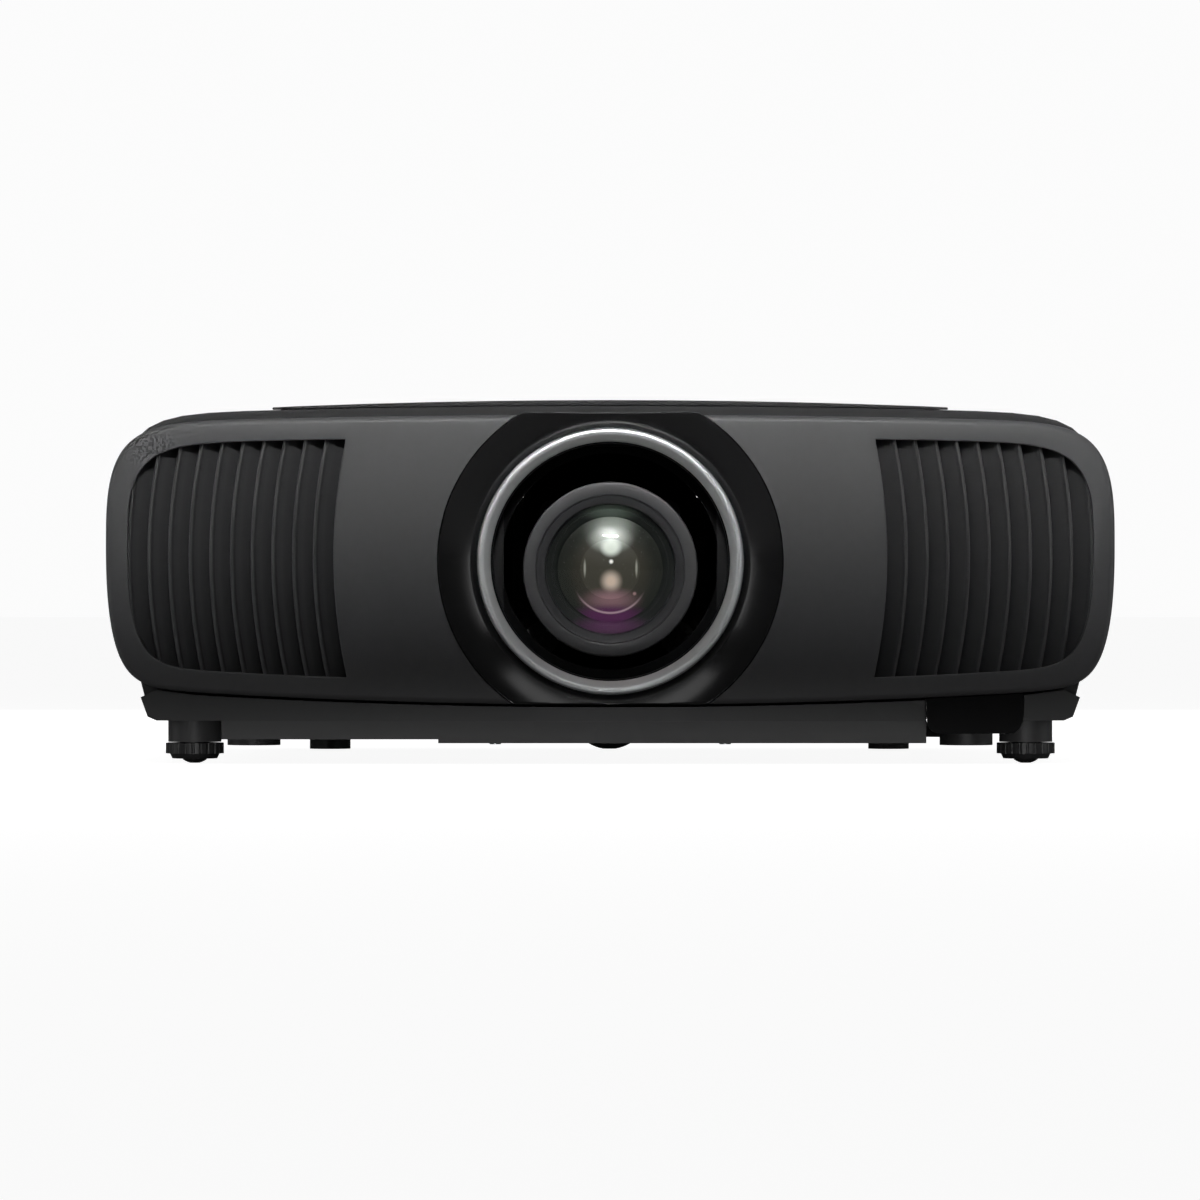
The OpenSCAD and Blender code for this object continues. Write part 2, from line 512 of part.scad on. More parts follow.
module lens_barrel() color(coal) {
  difference() {
    union() {
      cyl_y(0, lens_z, -158, -82, 38);
      cyl_y(0, lens_z, -86, -82.05, 44);
      cyl_y(0, lens_z, -82.5, -34, 31);
      for (t = [45, 135]) translate([43 * cos(t), -82.05, lens_z + 43 * sin(t)]) rotate([90, 0, 0]) cylinder(r = 7, h = 4);
      for (t = [fp_a, zp_a]) translate([pin_d * cos(t), -82.05, lens_z + pin_d * sin(t)]) rotate([90, 0, 0]) cylinder(r = 9, h = 4);
      translate([pin_d * cos(fp_a), -86, lens_z + pin_d * sin(fp_a)]) rotate([90, 0, 0]) cylinder(r = 3, h = 27);
    }
    cyl_y(0, lens_z, -160, -88, 35.5);
    cyl_y(0, lens_z, -90, -30, 26);
  }
  difference() { cyl_y(0, lens_z, -129.6, -126.2, 41); cyl_y(0, lens_z, -131, -125, 37.5); }
  // focus and zoom gearmotors
  translate([pin_d * cos(fp_a), -112.9, lens_z + pin_d * sin(fp_a)]) rotate([90, 0, 0]) cylinder(r = 4.8, h = 17);
  translate([pin_d * cos(fp_a), -129, lens_z + pin_d * sin(fp_a)]) rotate([90, 0, 0]) cylinder(r = 1, h = 13);
  translate([pin_d * cos(zp_a), -86, lens_z + pin_d * sin(zp_a)]) rotate([90, 0, 0]) cylinder(r = 4.8, h = 14);
  translate([pin_d * cos(zp_a), -99, lens_z + pin_d * sin(zp_a)]) rotate([90, 0, 0]) cylinder(r = 1, h = 11);
  // rear element
  turned(0, lens_z, [[0, -44], [14, -43.2], [26.1, -40], [26.1, -36], [14, -34.6], [0, -34.2]]);
}
module lens_front_cell() color(coal) {
  turned(0, lens_z, [[cell_r - 0.6, -184], [cell_r, -183.4], [cell_r, -164], [cell_r - 2.2, -164], [cell_r - 2.2, -178], [35.44, -178], [35.44, -136],
    [glass_r + 0.5, -136], [glass_r + 0.5, -179.2], [glass_r + 1.2, -180.4], [38.2, -182.6], [38.2, -184]]);
}
module front_glass() color([0.25, 0.22, 0.35, 0.5])
  turned(0, lens_z, [for (p = concat([for (r = [0:3:glass_r]) [r, -114.9 - sqrt(72 * 72 - r * r) + 0.4]], [[glass_r + 0.3, -178.4], [glass_r + 0.3, -172]],
    [for (r = [30:-5:0]) [r, -171 - 3.5 * (1 - r * r / 900)]])) p]);
module ring_gear(y0, y1, yg) difference() {
  union() {
    cyl_y(0, lens_z, y0, y1, 42);
    translate([0, yg + 6, lens_z]) rotate([90, 0, 0]) linear_extrude(height = 6) polygon(gear_pts(ring_n, gear_m, tooth_share));
    for (t = [0:30:330]) translate([42 * cos(t), y0 + 11, lens_z + 42 * sin(t)]) rotate([90, 0, 0]) cylinder(r = 1.4, h = 10);
  }
  cyl_y(0, lens_z, y0 - 1, y1 + 1, 38.06);
}
module focus_ring() color(dark) ring_gear(-156, -132, -139.5);
module zoom_ring() color(dark) ring_gear(-124, -98, -108.5);
module pinion(y, ang) translate([pin_d * cos(ang), y + 8, lens_z + pin_d * sin(ang)]) rotate([90, 0, 0]) difference() {
  linear_extrude(height = 8) rotate([0, 0, ang + 180 + 180 / pin_n + pinion_phase(ang)]) polygon(gear_pts(pin_n, gear_m, tooth_share));
  translate([0, 0, -1]) cylinder(r = 1.03, h = 10);
}
// Turns a pinion so that its space faces the ring's tooth nearest the line of centres.
function pinion_phase(ang) = let (p = 360 / ring_n, off = ang - p * round(ang / p)) off * ring_n / pin_n;
module focus_pinion() color([0.85, 0.83, 0.76]) pinion(-140.5, fp_a);
module zoom_pinion() color([0.85, 0.83, 0.76]) pinion(-109.5, zp_a);
module zoom_group() color([0.3, 0.32, 0.38]) {
  turned(0, lens_z, [[29.4, -121], [35.44, -121], [35.44, -101], [29.4, -101]]);
  turned(0, lens_z, [[0, -119], [20, -117.6], [29.5, -114.5], [29.5, -108], [20, -110], [0, -111.6]]);
}
module optical_engine() color([0.3, 0.31, 0.33]) {
  difference() {
    union() {
      box(-58, 138, -26, 106, 64, 136);
      cyl_y(0, lens_z, -30, -24, 30);
    }
    box(-54, 134, -22, 102, 68, 140);
    cyl_y(0, lens_z, -32, -20, 24);
    cyl_x(60, lens_z, 130, 142, 21);
  }
  for (p = [[62, 8, 45], [62, 78, 45], [-36, 78, -45], [-36, 8, 45], [104, 78, -45]])
    translate([p[0], p[1], 100]) rotate([0, 0, p[2]]) cube([34, 2, 56], center = true);
  for (x = [24, 84]) difference() { box(x, x + 6, 50, 102, 67, 130); cyl_x(78, 100, x - 1, x + 7, 18); }
  box(-58, 138, -26, 106, 136.2, 138.6);
}
module prism_block() color([0.6, 0.62, 0.7]) {
  box(-13, 13, -8, 18, 87, 113);
  for (s = [-1, 1]) box(s * 16 - 1.2, s * 16 + 1.2, -8, 18, 88, 112);
  box(-13, 13, 20, 22.4, 88, 112);
  box(-20, 20, -10, 24, 68, 87);
}
module phosphor_wheel() color([0.8, 0.78, 0.5]) {
  difference() {
    cyl_x(60, 100, 148, 149.2, 30);
    cyl_x(60, 100, 147, 150, 4);
  }
  difference() { cyl_x(60, 100, 146, 152.8, 9); cyl_x(60, 100, 145, 154, 3.05); }
}
module laser_module() color(alu) {
  difference() {
    box(156, 214, 24, 112, 62, 140);
    box(152, 168, 27, 93, 66, 134);
  }
  cyl_x(60, 100, 144.5, 169, 3);
  for (k = [0:6]) box(172 + k * 5.6, 174.4 + k * 5.6, 30, 106, 139.9, 156);
}
module heat_sink() color(alu) {
  box(146, 238, -122, -118, 46, 160);
  for (k = [0:17]) box(146 + k * 5.35, 147.2 + k * 5.35, -118.1, -10, 46, 160);
  for (z = [80, 122]) cyl_y(190, z, -30, 24, 4);
}
module fan_frames() color(black) for (x = [-192, 192]) {
  difference() {
    box(x - 46, x + 46, -157, -132, 52, 158);
    cyl_y(x, 105, -158, -131, 44);
  }
  cyl_y(x, 105, -137, -134, 16);
  cyl_y(x, 105, -152, -136.9, 2);
  for (t = [30, 150, 270]) translate([x, -134, 105]) rotate([90, 0, 0]) rotate([0, 0, t]) translate([14, -2, 0]) cube([32, 4, 3]);
}
module rotor(x, s) color(dark) difference() {
  union() {
    cyl_y(x, 105, -154.5, -138, 17);
    for (t = [0:51.4286:320]) translate([x, -146.2, 105]) rotate([90, 0, 0]) rotate([0, 0, t]) translate([28.5, 0, 0]) rotate([s * 38, 0, 0]) cube([28, 1.8, 17], center = true);
  }
  cyl_y(x, 105, -153, -137, 2.06);
}
module intake_fan() rotor(-192, 1);
module exhaust_fan() rotor(192, -1);
module main_board() color([0.05, 0.22, 0.12]) {
  difference() { box(-172, 118, 40, 212, 48, 49.6); cyl_z(-50, 96, 40, 60, 5); }
  for (p = [[-8, 84, 34], [32, 84, 26], [80, 110, 20], [-90, 120, 16]]) box(p[0] - p[2] / 2, p[0] + p[2] / 2, p[1] - p[2] / 2, p[1] + p[2] / 2, 49.5, 52);
  for (i = [0:5]) cyl_z(-110 + i * 34, 170, 49.5, 58, 4);
  box(-218, -136, -70, 30, 60, 61.6);
  for (p = [[-200, -50], [-176, -50], [-152, -50]]) cyl_z(p[0], p[1], 61.5, 96, 9);
  box(-206, -160, -28, 12, 61.5, 92);
}

front_bezel();
grille_left();
grille_right();
lens_surround();
lens_trim_ring();
lens_well();
shutter_frame();
shutter_left();
shutter_right();
shutter_pinion();
shutter_motor();
sensor_window();
top_cover();
top_plate();
bottom_case();
rear_cover();
filter_cover();
air_filter();
panel_door();
keypad_plate();
power_button();
nav_ring();
enter_button();
menu_button();
back_button();
interface_panel();
video_sockets();
data_sockets();
network_socket();
serial_port();
trigger_jack();
mains_inlet();
foot_left_pad();
foot_left_dial();
foot_right_pad();
foot_right_dial();
rear_feet();
mount_inserts();
case_screws();
base_chassis();
shift_frame();
shift_v_plate();
shift_h_plate();
lens_barrel();
lens_front_cell();
front_glass();
focus_ring();
focus_pinion();
zoom_ring();
zoom_pinion();
zoom_group();
optical_engine();
prism_block();
phosphor_wheel();
laser_module();
heat_sink();
fan_frames();
intake_fan();
exhaust_fan();
main_board();
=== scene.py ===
import math
import bpy
import numpy as np
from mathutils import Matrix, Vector
from mathutils.geometry import delaunay_2d_cdt


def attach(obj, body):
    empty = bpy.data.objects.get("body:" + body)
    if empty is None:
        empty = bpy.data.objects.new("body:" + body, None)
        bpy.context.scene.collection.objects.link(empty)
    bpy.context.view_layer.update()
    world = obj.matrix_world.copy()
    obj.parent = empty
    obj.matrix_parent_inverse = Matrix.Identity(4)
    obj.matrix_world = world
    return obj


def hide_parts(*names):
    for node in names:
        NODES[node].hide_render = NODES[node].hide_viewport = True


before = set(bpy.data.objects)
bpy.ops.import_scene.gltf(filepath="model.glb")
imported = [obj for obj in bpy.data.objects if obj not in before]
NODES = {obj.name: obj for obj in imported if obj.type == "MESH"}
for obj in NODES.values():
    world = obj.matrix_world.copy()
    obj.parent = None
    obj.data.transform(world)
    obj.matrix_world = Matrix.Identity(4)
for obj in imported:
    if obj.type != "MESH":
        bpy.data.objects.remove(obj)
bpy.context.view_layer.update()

# ---------------------------------------------------------------------------
# camera, floor, light
# ---------------------------------------------------------------------------
scene = bpy.context.scene
cam_data = bpy.data.cameras.new("camera")
cam = bpy.data.objects.new("camera", cam_data)
scene.collection.objects.link(cam)
cam.location = (-0.0053, -3.7235, 0.0841)
cam.rotation_euler = (math.radians(90), 0, 0)
cam_data.sensor_width = 36.0
cam_data.lens = 205.3
cam_data.clip_start = 0.05
cam_data.clip_end = 100.0
scene.camera = cam
scene.view_settings.view_transform = "Standard"
scene.view_settings.look = "None"
scene.view_settings.exposure = 0.0
scene.view_settings.gamma = 1.0


def link(node_tree, a, ai, b, bi):
    node_tree.links.new(a.outputs[ai], b.inputs[bi])


world = bpy.data.worlds.new("studio")
scene.world = world
world.use_nodes = True
wt = world.node_tree
wt.nodes.clear()
w_out = wt.nodes.new("ShaderNodeOutputWorld")
w_mix = wt.nodes.new("ShaderNodeMixShader")
w_path = wt.nodes.new("ShaderNodeLightPath")
w_seen = wt.nodes.new("ShaderNodeBackground")
w_lit = wt.nodes.new("ShaderNodeBackground")
w_seen.inputs["Color"].default_value = (0.97, 0.97, 0.97, 1)
w_seen.inputs["Strength"].default_value = 1.0
w_lit.inputs["Color"].default_value = (1, 1, 1, 1)
w_lit.inputs["Strength"].default_value = 0.03
link(wt, w_path, "Is Camera Ray", w_mix, 0)
link(wt, w_lit, 0, w_mix, 1)
link(wt, w_seen, 0, w_mix, 2)
link(wt, w_mix, 0, w_out, 0)


def area(name, loc, target, sx, sy, power, color=(1, 1, 1), spread=180):
    d = bpy.data.lights.new(name, "AREA")
    d.shape = "RECTANGLE"
    d.size, d.size_y, d.energy, d.color = sx, sy, power, color
    d.spread = math.radians(spread)
    o = bpy.data.objects.new(name, d)
    scene.collection.objects.link(o)
    o.location = loc
    o.rotation_euler = (Vector(target) - Vector(loc)).to_track_quat("-Z", "Y").to_euler()
    o.visible_camera = False
    return o


area("top_box", (0, -0.42, 0.98), (0, -0.36, 0.1), 1.5, 0.30, 1.9)
area("top_rear_box", (0, 0.55, 1.15), (0, 0.2, 0.1), 1.5, 0.5, 1.0)
area("front_beam", (0, -1.25, 0.72), (0, -0.22, 0.243), 1.4, 0.05, 1.30, spread=17.2)
area("front_fill", (0, -1.5, 1.25), (0, -0.2, 0.14), 1.0, 0.5, 0.25)
area("low_beam", (0, -0.60, 0.012), (0, -0.20, 0.004), 1.1, 0.02, 0.03, spread=12)
area("left_wash", (-1.3, -0.31, 0.36), (-0.2, -0.15, 0.1), 0.12, 0.8, 1.8)
area("right_wash", (1.3, -0.31, 0.36), (0.2, -0.15, 0.1), 0.12, 0.8, 1.8)
area("rear_wash", (0, 1.6, 0.45), (0, 0.2, 0.1), 1.2, 0.5, 4, spread=110)

floor_mesh = bpy.data.meshes.new("floor")
floor_mesh.from_pydata([(-30, -30, 0), (30, -30, 0), (30, 30, 0), (-30, 30, 0)], [], [(0, 1, 2, 3)])
floor = bpy.data.objects.new("floor", floor_mesh)
scene.collection.objects.link(floor)
floor.location.z = -0.0002
fm = bpy.data.materials.new("floor_pale")
fm.use_nodes = True
ft = fm.node_tree
ft.nodes.clear()
f_out = ft.nodes.new("ShaderNodeOutputMaterial")
f_add = ft.nodes.new("ShaderNodeAddShader")
f_dif = ft.nodes.new("ShaderNodeBsdfDiffuse")
f_dif.inputs["Color"].default_value = (0.5, 0.5, 0.5, 1)
f_emi = ft.nodes.new("ShaderNodeEmission")
f_path = ft.nodes.new("ShaderNodeLightPath")
f_seen = ft.nodes.new("ShaderNodeMath")
f_seen.operation = "MULTIPLY"
f_seen.inputs[1].default_value = 0.93
link(ft, f_path, "Is Camera Ray", f_seen, 0)
link(ft, f_seen, 0, f_emi, "Strength")
link(ft, f_dif, 0, f_add, 0)
link(ft, f_emi, 0, f_add, 1)
link(ft, f_add, 0, f_out, 0)
floor_mesh.materials.append(fm)


# ---------------------------------------------------------------------------
# materials
# ---------------------------------------------------------------------------
def principled(name):
    m = bpy.data.materials.new(name)
    m.use_nodes = True
    t = m.node_tree
    b = next(n for n in t.nodes if n.type == "BSDF_PRINCIPLED")
    return m, t, b


def noise(t, coord, scale, detail=4.0, rough=0.55, stretch=None):
    n = t.nodes.new("ShaderNodeTexNoise")
    n.inputs["Scale"].default_value = scale
    n.inputs["Detail"].default_value = detail
    n.inputs["Roughness"].default_value = rough
    src = coord
    if stretch:
        mp = t.nodes.new("ShaderNodeMapping")
        mp.inputs["Scale"].default_value = stretch
        t.links.new(coord, mp.inputs["Vector"])
        src = mp.outputs["Vector"]
    t.links.new(src, n.inputs["Vector"])
    return n.outputs["Fac"]


def ramp(t, fac, stops):
    r = t.nodes.new("ShaderNodeValToRGB")
    e = r.color_ramp.elements
    while len(e) < len(stops):
        e.new(0.5)
    for k, (p, c) in enumerate(stops):
        e[k].position = p
        e[k].color = (*c, 1) if len(c) == 3 else c
    t.links.new(fac, r.inputs["Fac"])
    return r.outputs["Color"]


def span(t, fac, lo, hi):
    r = t.nodes.new("ShaderNodeMapRange")
    r.inputs["To Min"].default_value = lo
    r.inputs["To Max"].default_value = hi
    t.links.new(fac, r.inputs["Value"])
    return r.outputs["Result"]


def grainy(name, col, rough, grain=1500.0, depth=6e-5, var=0.12, rvar=0.06, ior=1.5, metallic=0.0,
           stretch=None, coat=0.0, wave=240.0, fine=4200.0, wear=0.0, strength=0.35, level=None):
    """Moulded or machined surface: fine grain, slow colour drift, uneven gloss, lighter worn edges."""
    m, t, b = principled(name)
    c = t.nodes.new("ShaderNodeTexCoord").outputs["Object"]
    slow = noise(t, c, wave * 0.06, 3.0)
    mid = noise(t, c, wave, 4.0)
    g = noise(t, c, grain, 3.0, 0.6, stretch)
    g2 = noise(t, c, fine, 2.0, 0.5, stretch)
    lo = tuple(max(0.0, v * (1 - var)) for v in col)
    hi = tuple(min(1.0, v * (1 + var)) for v in col)
    mixed = t.nodes.new("ShaderNodeMath"); mixed.operation = "MULTIPLY_ADD"
    t.links.new(slow, mixed.inputs[0]); mixed.inputs[1].default_value = 0.6
    half = t.nodes.new("ShaderNodeMath"); half.operation = "MULTIPLY"
    t.links.new(mid, half.inputs[0]); half.inputs[1].default_value = 0.4
    t.links.new(half.outputs[0], mixed.inputs[2])
    base = ramp(t, mixed.outputs[0], [(0.3, lo), (0.7, hi)])
    if wear:
        ge = t.nodes.new("ShaderNodeNewGeometry").outputs["Pointiness"]
        er = t.nodes.new("ShaderNodeMapRange")
        er.inputs["From Min"].default_value = 0.53
        er.inputs["From Max"].default_value = 0.62
        er.inputs["To Max"].default_value = wear
        t.links.new(ge, er.inputs["Value"])
        mx = t.nodes.new("ShaderNodeMix"); mx.data_type = "RGBA"
        t.links.new(er.outputs["Result"], mx.inputs["Factor"])
        t.links.new(base, mx.inputs["A"])
        mx.inputs["B"].default_value = (*[min(1, v * 2.2 + 0.02) for v in col], 1)
        base = mx.outputs["Result"]
    t.links.new(base, b.inputs["Base Color"])
    t.links.new(span(t, mid, rough - rvar, rough + rvar), b.inputs["Roughness"])
    b.inputs["IOR"].default_value = ior
    b.inputs["Metallic"].default_value = metallic
    if level is not None:
        b.inputs["Specular IOR Level"].default_value = level
    if coat:
        b.inputs["Coat Weight"].default_value = coat
        b.inputs["Coat Roughness"].default_value = 0.06
    h = t.nodes.new("ShaderNodeMath"); h.operation = "MULTIPLY_ADD"
    t.links.new(g2, h.inputs[0]); h.inputs[1].default_value = 0.45
    t.links.new(g, h.inputs[2])
    bump = t.nodes.new("ShaderNodeBump")
    bump.inputs["Strength"].default_value = strength
    bump.inputs["Distance"].default_value = depth
    t.links.new(h.outputs[0], bump.inputs["Height"])
    t.links.new(bump.outputs["Normal"], b.inputs["Normal"])
    return m


M = {}
M["bezel"] = grainy("bezel_texture", (0.052, 0.052, 0.054), 0.50, grain=1300, depth=9e-5, var=0.10, wear=0.25)
M["louvre"] = grainy("louvre_satin", (0.036, 0.036, 0.037), 0.44, grain=1700, depth=5e-5, var=0.10)
M["case"] = grainy("case_texture", (0.020, 0.020, 0.021), 0.48, grain=1300, depth=9e-5, var=0.12, wear=0.3)
M["top"] = grainy("top_texture", (0.014, 0.014, 0.0145), 0.60, grain=1300, depth=1.2e-4, var=0.14, wear=0.25, level=0.2, strength=0.45)
M["lower"] = grainy("lower_texture", (0.034, 0.034, 0.035), 0.52, grain=1300, depth=9e-5, var=0.12, wear=0.3)
M["plate"] = grainy("plate_satin", (0.010, 0.010, 0.0105), 0.46, grain=1900, depth=4e-5, var=0.15, wear=0.2)
M["gloss"] = grainy("surround_gloss", (0.008, 0.008, 0.0084), 0.2, grain=350, depth=1.2e-5, var=0.15, rvar=0.03, wave=90, fine=900, strength=0.15)
M["window"] = grainy("sensor_gloss", (0.0025, 0.0025, 0.003), 0.10, grain=300, depth=1e-5, var=0.2, rvar=0.02, wave=90, fine=900, strength=0.12)
M["silver"] = grainy("satin_silver", (0.78, 0.79, 0.80), 0.34, metallic=0.55, grain=700, depth=6e-6, var=0.05, stretch=(1, 8, 1), rvar=0.03, fine=1800, strength=0.12)
M["inner"] = grainy("inner_matt", (0.003, 0.003, 0.0032), 0.75, grain=1400, depth=7e-5, var=0.2, level=0.1)
M["anodised"] = grainy("lens_anodised", (0.047, 0.047, 0.049), 0.42, grain=2400, depth=3e-5, var=0.08, stretch=(1, 3, 1))
M["baffle"] = grainy("lens_baffle", (0.006, 0.006, 0.0063), 0.55, grain=2400, depth=3e-5, var=0.1, level=0.22)
M["rubber"] = grainy("foot_rubber_grip", (0.012, 0.012, 0.0122), 0.72, grain=1100, depth=1.4e-4, var=0.2)
M["dial"] = grainy("dial_plastic", (0.014, 0.014, 0.0145), 0.42, grain=1500, depth=6e-5, var=0.15, wear=0.3)
M["steel"] = grainy("zinc_plate", (0.48, 0.49, 0.50), 0.38, metallic=1.0, grain=1200, depth=4e-5, var=0.12, wear=0.2)
M["alu"] = grainy("machined_aluminium", (0.62, 0.63, 0.64), 0.32, metallic=1.0, grain=1500, depth=4e-5, var=0.08, stretch=(1, 1, 8))
M["pinion"] = grainy("black_acetal", (0.008, 0.008, 0.0083), 0.5, grain=1200, depth=4e-5, var=0.1)
M["gear"] = grainy("acetal_gear", (0.66, 0.62, 0.50), 0.42, grain=1200, depth=4e-5, var=0.08)
M["brass"] = grainy("insert_brass", (0.56, 0.40, 0.17), 0.30, metallic=1.0, grain=1400, depth=4e-5, var=0.12)
M["key"] = grainy("key_rubber", (0.045, 0.045, 0.048), 0.55, grain=1300, depth=6e-5, var=0.1)
M["socket"] = grainy("plated_socket", (0.52, 0.52, 0.53), 0.25, metallic=1.0, grain=1600, depth=2e-5, var=0.1)
M["engine"] = grainy("die_cast_black", (0.03, 0.03, 0.032), 0.5, grain=800, depth=1.6e-4, var=0.15)
M["phosphor"] = grainy("phosphor_coat", (0.62, 0.56, 0.16), 0.5, grain=1800, depth=5e-5, var=0.12)
M["filter"] = grainy("filter_fleece", (0.30, 0.31, 0.33), 0.9, grain=2600, depth=3e-4, var=0.25, fine=6000, strength=0.8)
M["board"] = grainy("solder_mask", (0.012, 0.075, 0.03), 0.35, grain=700, depth=5e-5, var=0.25)
M["frame_ring"] = grainy("trim_dark", (0.03, 0.03, 0.031), 0.30, grain=1500, depth=3e-5, var=0.1)


def optic(name, tint, alpha, rough=0.03, ior=1.9, base=(0.0, 0.0, 0.0)):
    m, t, b = principled(name)
    c = t.nodes.new("ShaderNodeTexCoord").outputs["Object"]
    n = noise(t, c, 160, 3.0)
    t.links.new(ramp(t, n, [(0.2, tuple(v * 0.9 for v in base)), (0.8, tuple(min(1, v * 1.1 + 0.001) for v in base))]), b.inputs["Base Color"])
    t.links.new(span(t, noise(t, c, 900, 2.0), rough * 0.8, rough * 1.3), b.inputs["Roughness"])
    b.inputs["Specular Tint"].default_value = (*tint, 1)
    b.inputs["IOR"].default_value = ior
    b.inputs["Alpha"].default_value = alpha
    m.blend_method = "BLEND" if hasattr(m, "blend_method") else None
    return m


# ---------------------------------------------------------------------------
# mesh building
# ---------------------------------------------------------------------------
class Build:
    def __init__(self):
        self.v, self.f = [], []

    def loop(self, pts):
        s = len(self.v)
        self.v.extend([tuple(float(c) for c in p) for p in pts])
        return list(range(s, s + len(pts)))

    def bridge(self, a, b, closed=True, flip=False):
        n = len(a)
        for k in range(n if closed else n - 1):
            j = (k + 1) % n
            q = (a[k], a[j], b[j], b[k])
            self.f.append(q[::-1] if flip else q)

    def cap(self, a, flip=False):
        """Closes a loop with a fan round its middle."""
        c = np.mean([self.v[k] for k in a], axis=0)
        self.v.append(tuple(c))
        m = len(self.v) - 1
        for k in range(len(a)):
            q = (a[k], a[(k + 1) % len(a)], m)
            self.f.append(q[::-1] if flip else q)

    def face_between(self, loops, ids, extra, depth, holes, flip=False):
        """Fills the region inside loops[0] and outside the others, in the xz plane. ids are the loops' vertex numbers."""
        pts, index, edges = [], [], []
        for lp, idx in zip(loops, ids):
            s = len(pts)
            pts += [Vector((float(p[0]), float(p[1]))) for p in lp]
            index += list(idx)
            edges += [(s + k, s + (k + 1) % len(lp)) for k in range(len(lp))]
        for p in extra:
            pts.append(Vector((float(p[0]), float(p[1]))))
            self.v.append((float(p[0]), float(depth(p[0], p[1])), float(p[1])))
            index.append(len(self.v) - 1)
        vo, _, fo, orig, _, _ = delaunay_2d_cdt(pts, edges, [], 0, 1e-5)
        back = []
        for k, o in enumerate(orig):
            if o:
                back.append(index[o[0]])
            else:
                self.v.append((vo[k].x, float(depth(vo[k].x, vo[k].y)), vo[k].y))
                back.append(len(self.v) - 1)
        cen = np.array([[(vo[f[0]].x + vo[f[1]].x + vo[f[2]].x) / 3, (vo[f[0]].y + vo[f[1]].y + vo[f[2]].y) / 3] for f in fo])
        keep = inside(cen, np.array(loops[0]))
        for h in holes:
            keep &= ~inside(cen, np.array(h))
        for f, k in zip(fo, keep):
            if k:
                t = [back[i] for i in f]
                self.f.append(tuple(t[::-1] if flip else t))

    def done(self, name, mat, scale=0.001, smooth=35, bevel=0.0):
        me = bpy.data.meshes.new(name)
        me.from_pydata([tuple(c * scale for c in p) for p in self.v], [], self.f)
        me.validate()
        me.update()
        o = bpy.data.objects.new(name, me)
        scene.collection.objects.link(o)
        import bmesh
        bm = bmesh.new()
        bm.from_mesh(me)
        bmesh.ops.remove_doubles(bm, verts=bm.verts, dist=1e-6)
        bmesh.ops.recalc_face_normals(bm, faces=bm.faces)
        bm.to_mesh(me)
        bm.free()
        me.materials.append(mat)
        if bevel:
            soften(o, bevel)
        shade(o, smooth)
        return o


def inside(p, poly):
    x, y = p[:, 0], p[:, 1]
    r = np.zeros(len(p), bool)
    xa, ya = poly[:, 0], poly[:, 1]
    xb, yb = np.roll(xa, -1), np.roll(ya, -1)
    for k in range(len(poly)):
        c = (ya[k] > y) != (yb[k] > y)
        if c.any():
            xi = (xb[k] - xa[k]) * (y - ya[k]) / (yb[k] - ya[k] + 1e-30) + xa[k]
            r ^= c & (x < xi)
    return r


def shade(o, angle=35):
    me = o.data
    me.polygons.foreach_set("use_smooth", [True] * len(me.polygons))
    import bmesh
    bm = bmesh.new()
    bm.from_mesh(me)
    lim = math.radians(angle)
    for e in bm.edges:
        e.smooth = not (len(e.link_faces) == 2 and e.calc_face_angle(0.0) > lim)
    bm.to_mesh(me)
    bm.free()


def soften(o, width, segments=3, angle=38):
    b = o.modifiers.new("edge", "BEVEL")
    b.width = width
    b.segments = segments
    b.limit_method = "ANGLE"
    b.angle_limit = math.radians(angle)
    b.miter_outer = "MITER_ARC"
    b.use_clamp_overlap = True
    b.harden_normals = False
    return b


def baked(o):
    """The object with its modifiers applied."""
    dg = bpy.context.evaluated_depsgraph_get()
    me = bpy.data.meshes.new_from_object(o.evaluated_get(dg))
    o.modifiers.clear()
    o.data = me
    return o


def cut(o, cutter, op="DIFFERENCE"):
    b = o.modifiers.new("cut", "BOOLEAN")
    b.operation = op
    b.solver = "EXACT"
    b.object = cutter
    baked(o)
    bpy.data.objects.remove(cutter)
    return o


def resample(p, ds, closed=True):
    p = np.asarray(p, float)
    if closed:
        p = np.vstack([p, p[:1]])
    seg = np.hypot(*(p[1:] - p[:-1]).T[:2])
    s = np.concatenate([[0], np.cumsum(seg)])
    n = max(8, int(round(s[-1] / ds)))
    u = np.linspace(0, s[-1], n + 1)
    q = np.stack([np.interp(u, s, p[:, k]) for k in range(p.shape[1])], 1)
    return q[:-1] if closed else q


def out_normals(p):
    d = np.roll(p, -1, 0) - np.roll(p, 1, 0)
    d /= np.linalg.norm(d, axis=1)[:, None] + 1e-12
    n = np.stack([d[:, 1], -d[:, 0]], 1)
    area2 = np.sum(p[:, 0] * np.roll(p[:, 1], -1) - np.roll(p[:, 0], -1) * p[:, 1])
    return n if area2 > 0 else -n


A0, ZC, R_FRONT = 260.0, 112.2, 1400.0


def fy(x):
    return -223.5 + np.asarray(x) ** 2 / (2 * R_FRONT)


def top_z(x, i=0.0):
    a = A0 - i
    return ZC + (66.6 - i - 5.14e-5 * x * x) * np.clip(1 - (np.abs(x) / a) ** 17.8, 0, 1) ** (1 / 3.09)


def bot_z(x, i=0.0):
    a = A0 - i
    return ZC - (81.7 - i - 1.333e-4 * x * x) * np.clip(1 - (np.abs(x) / a) ** 30, 0, 1) ** (1 / 2.32)


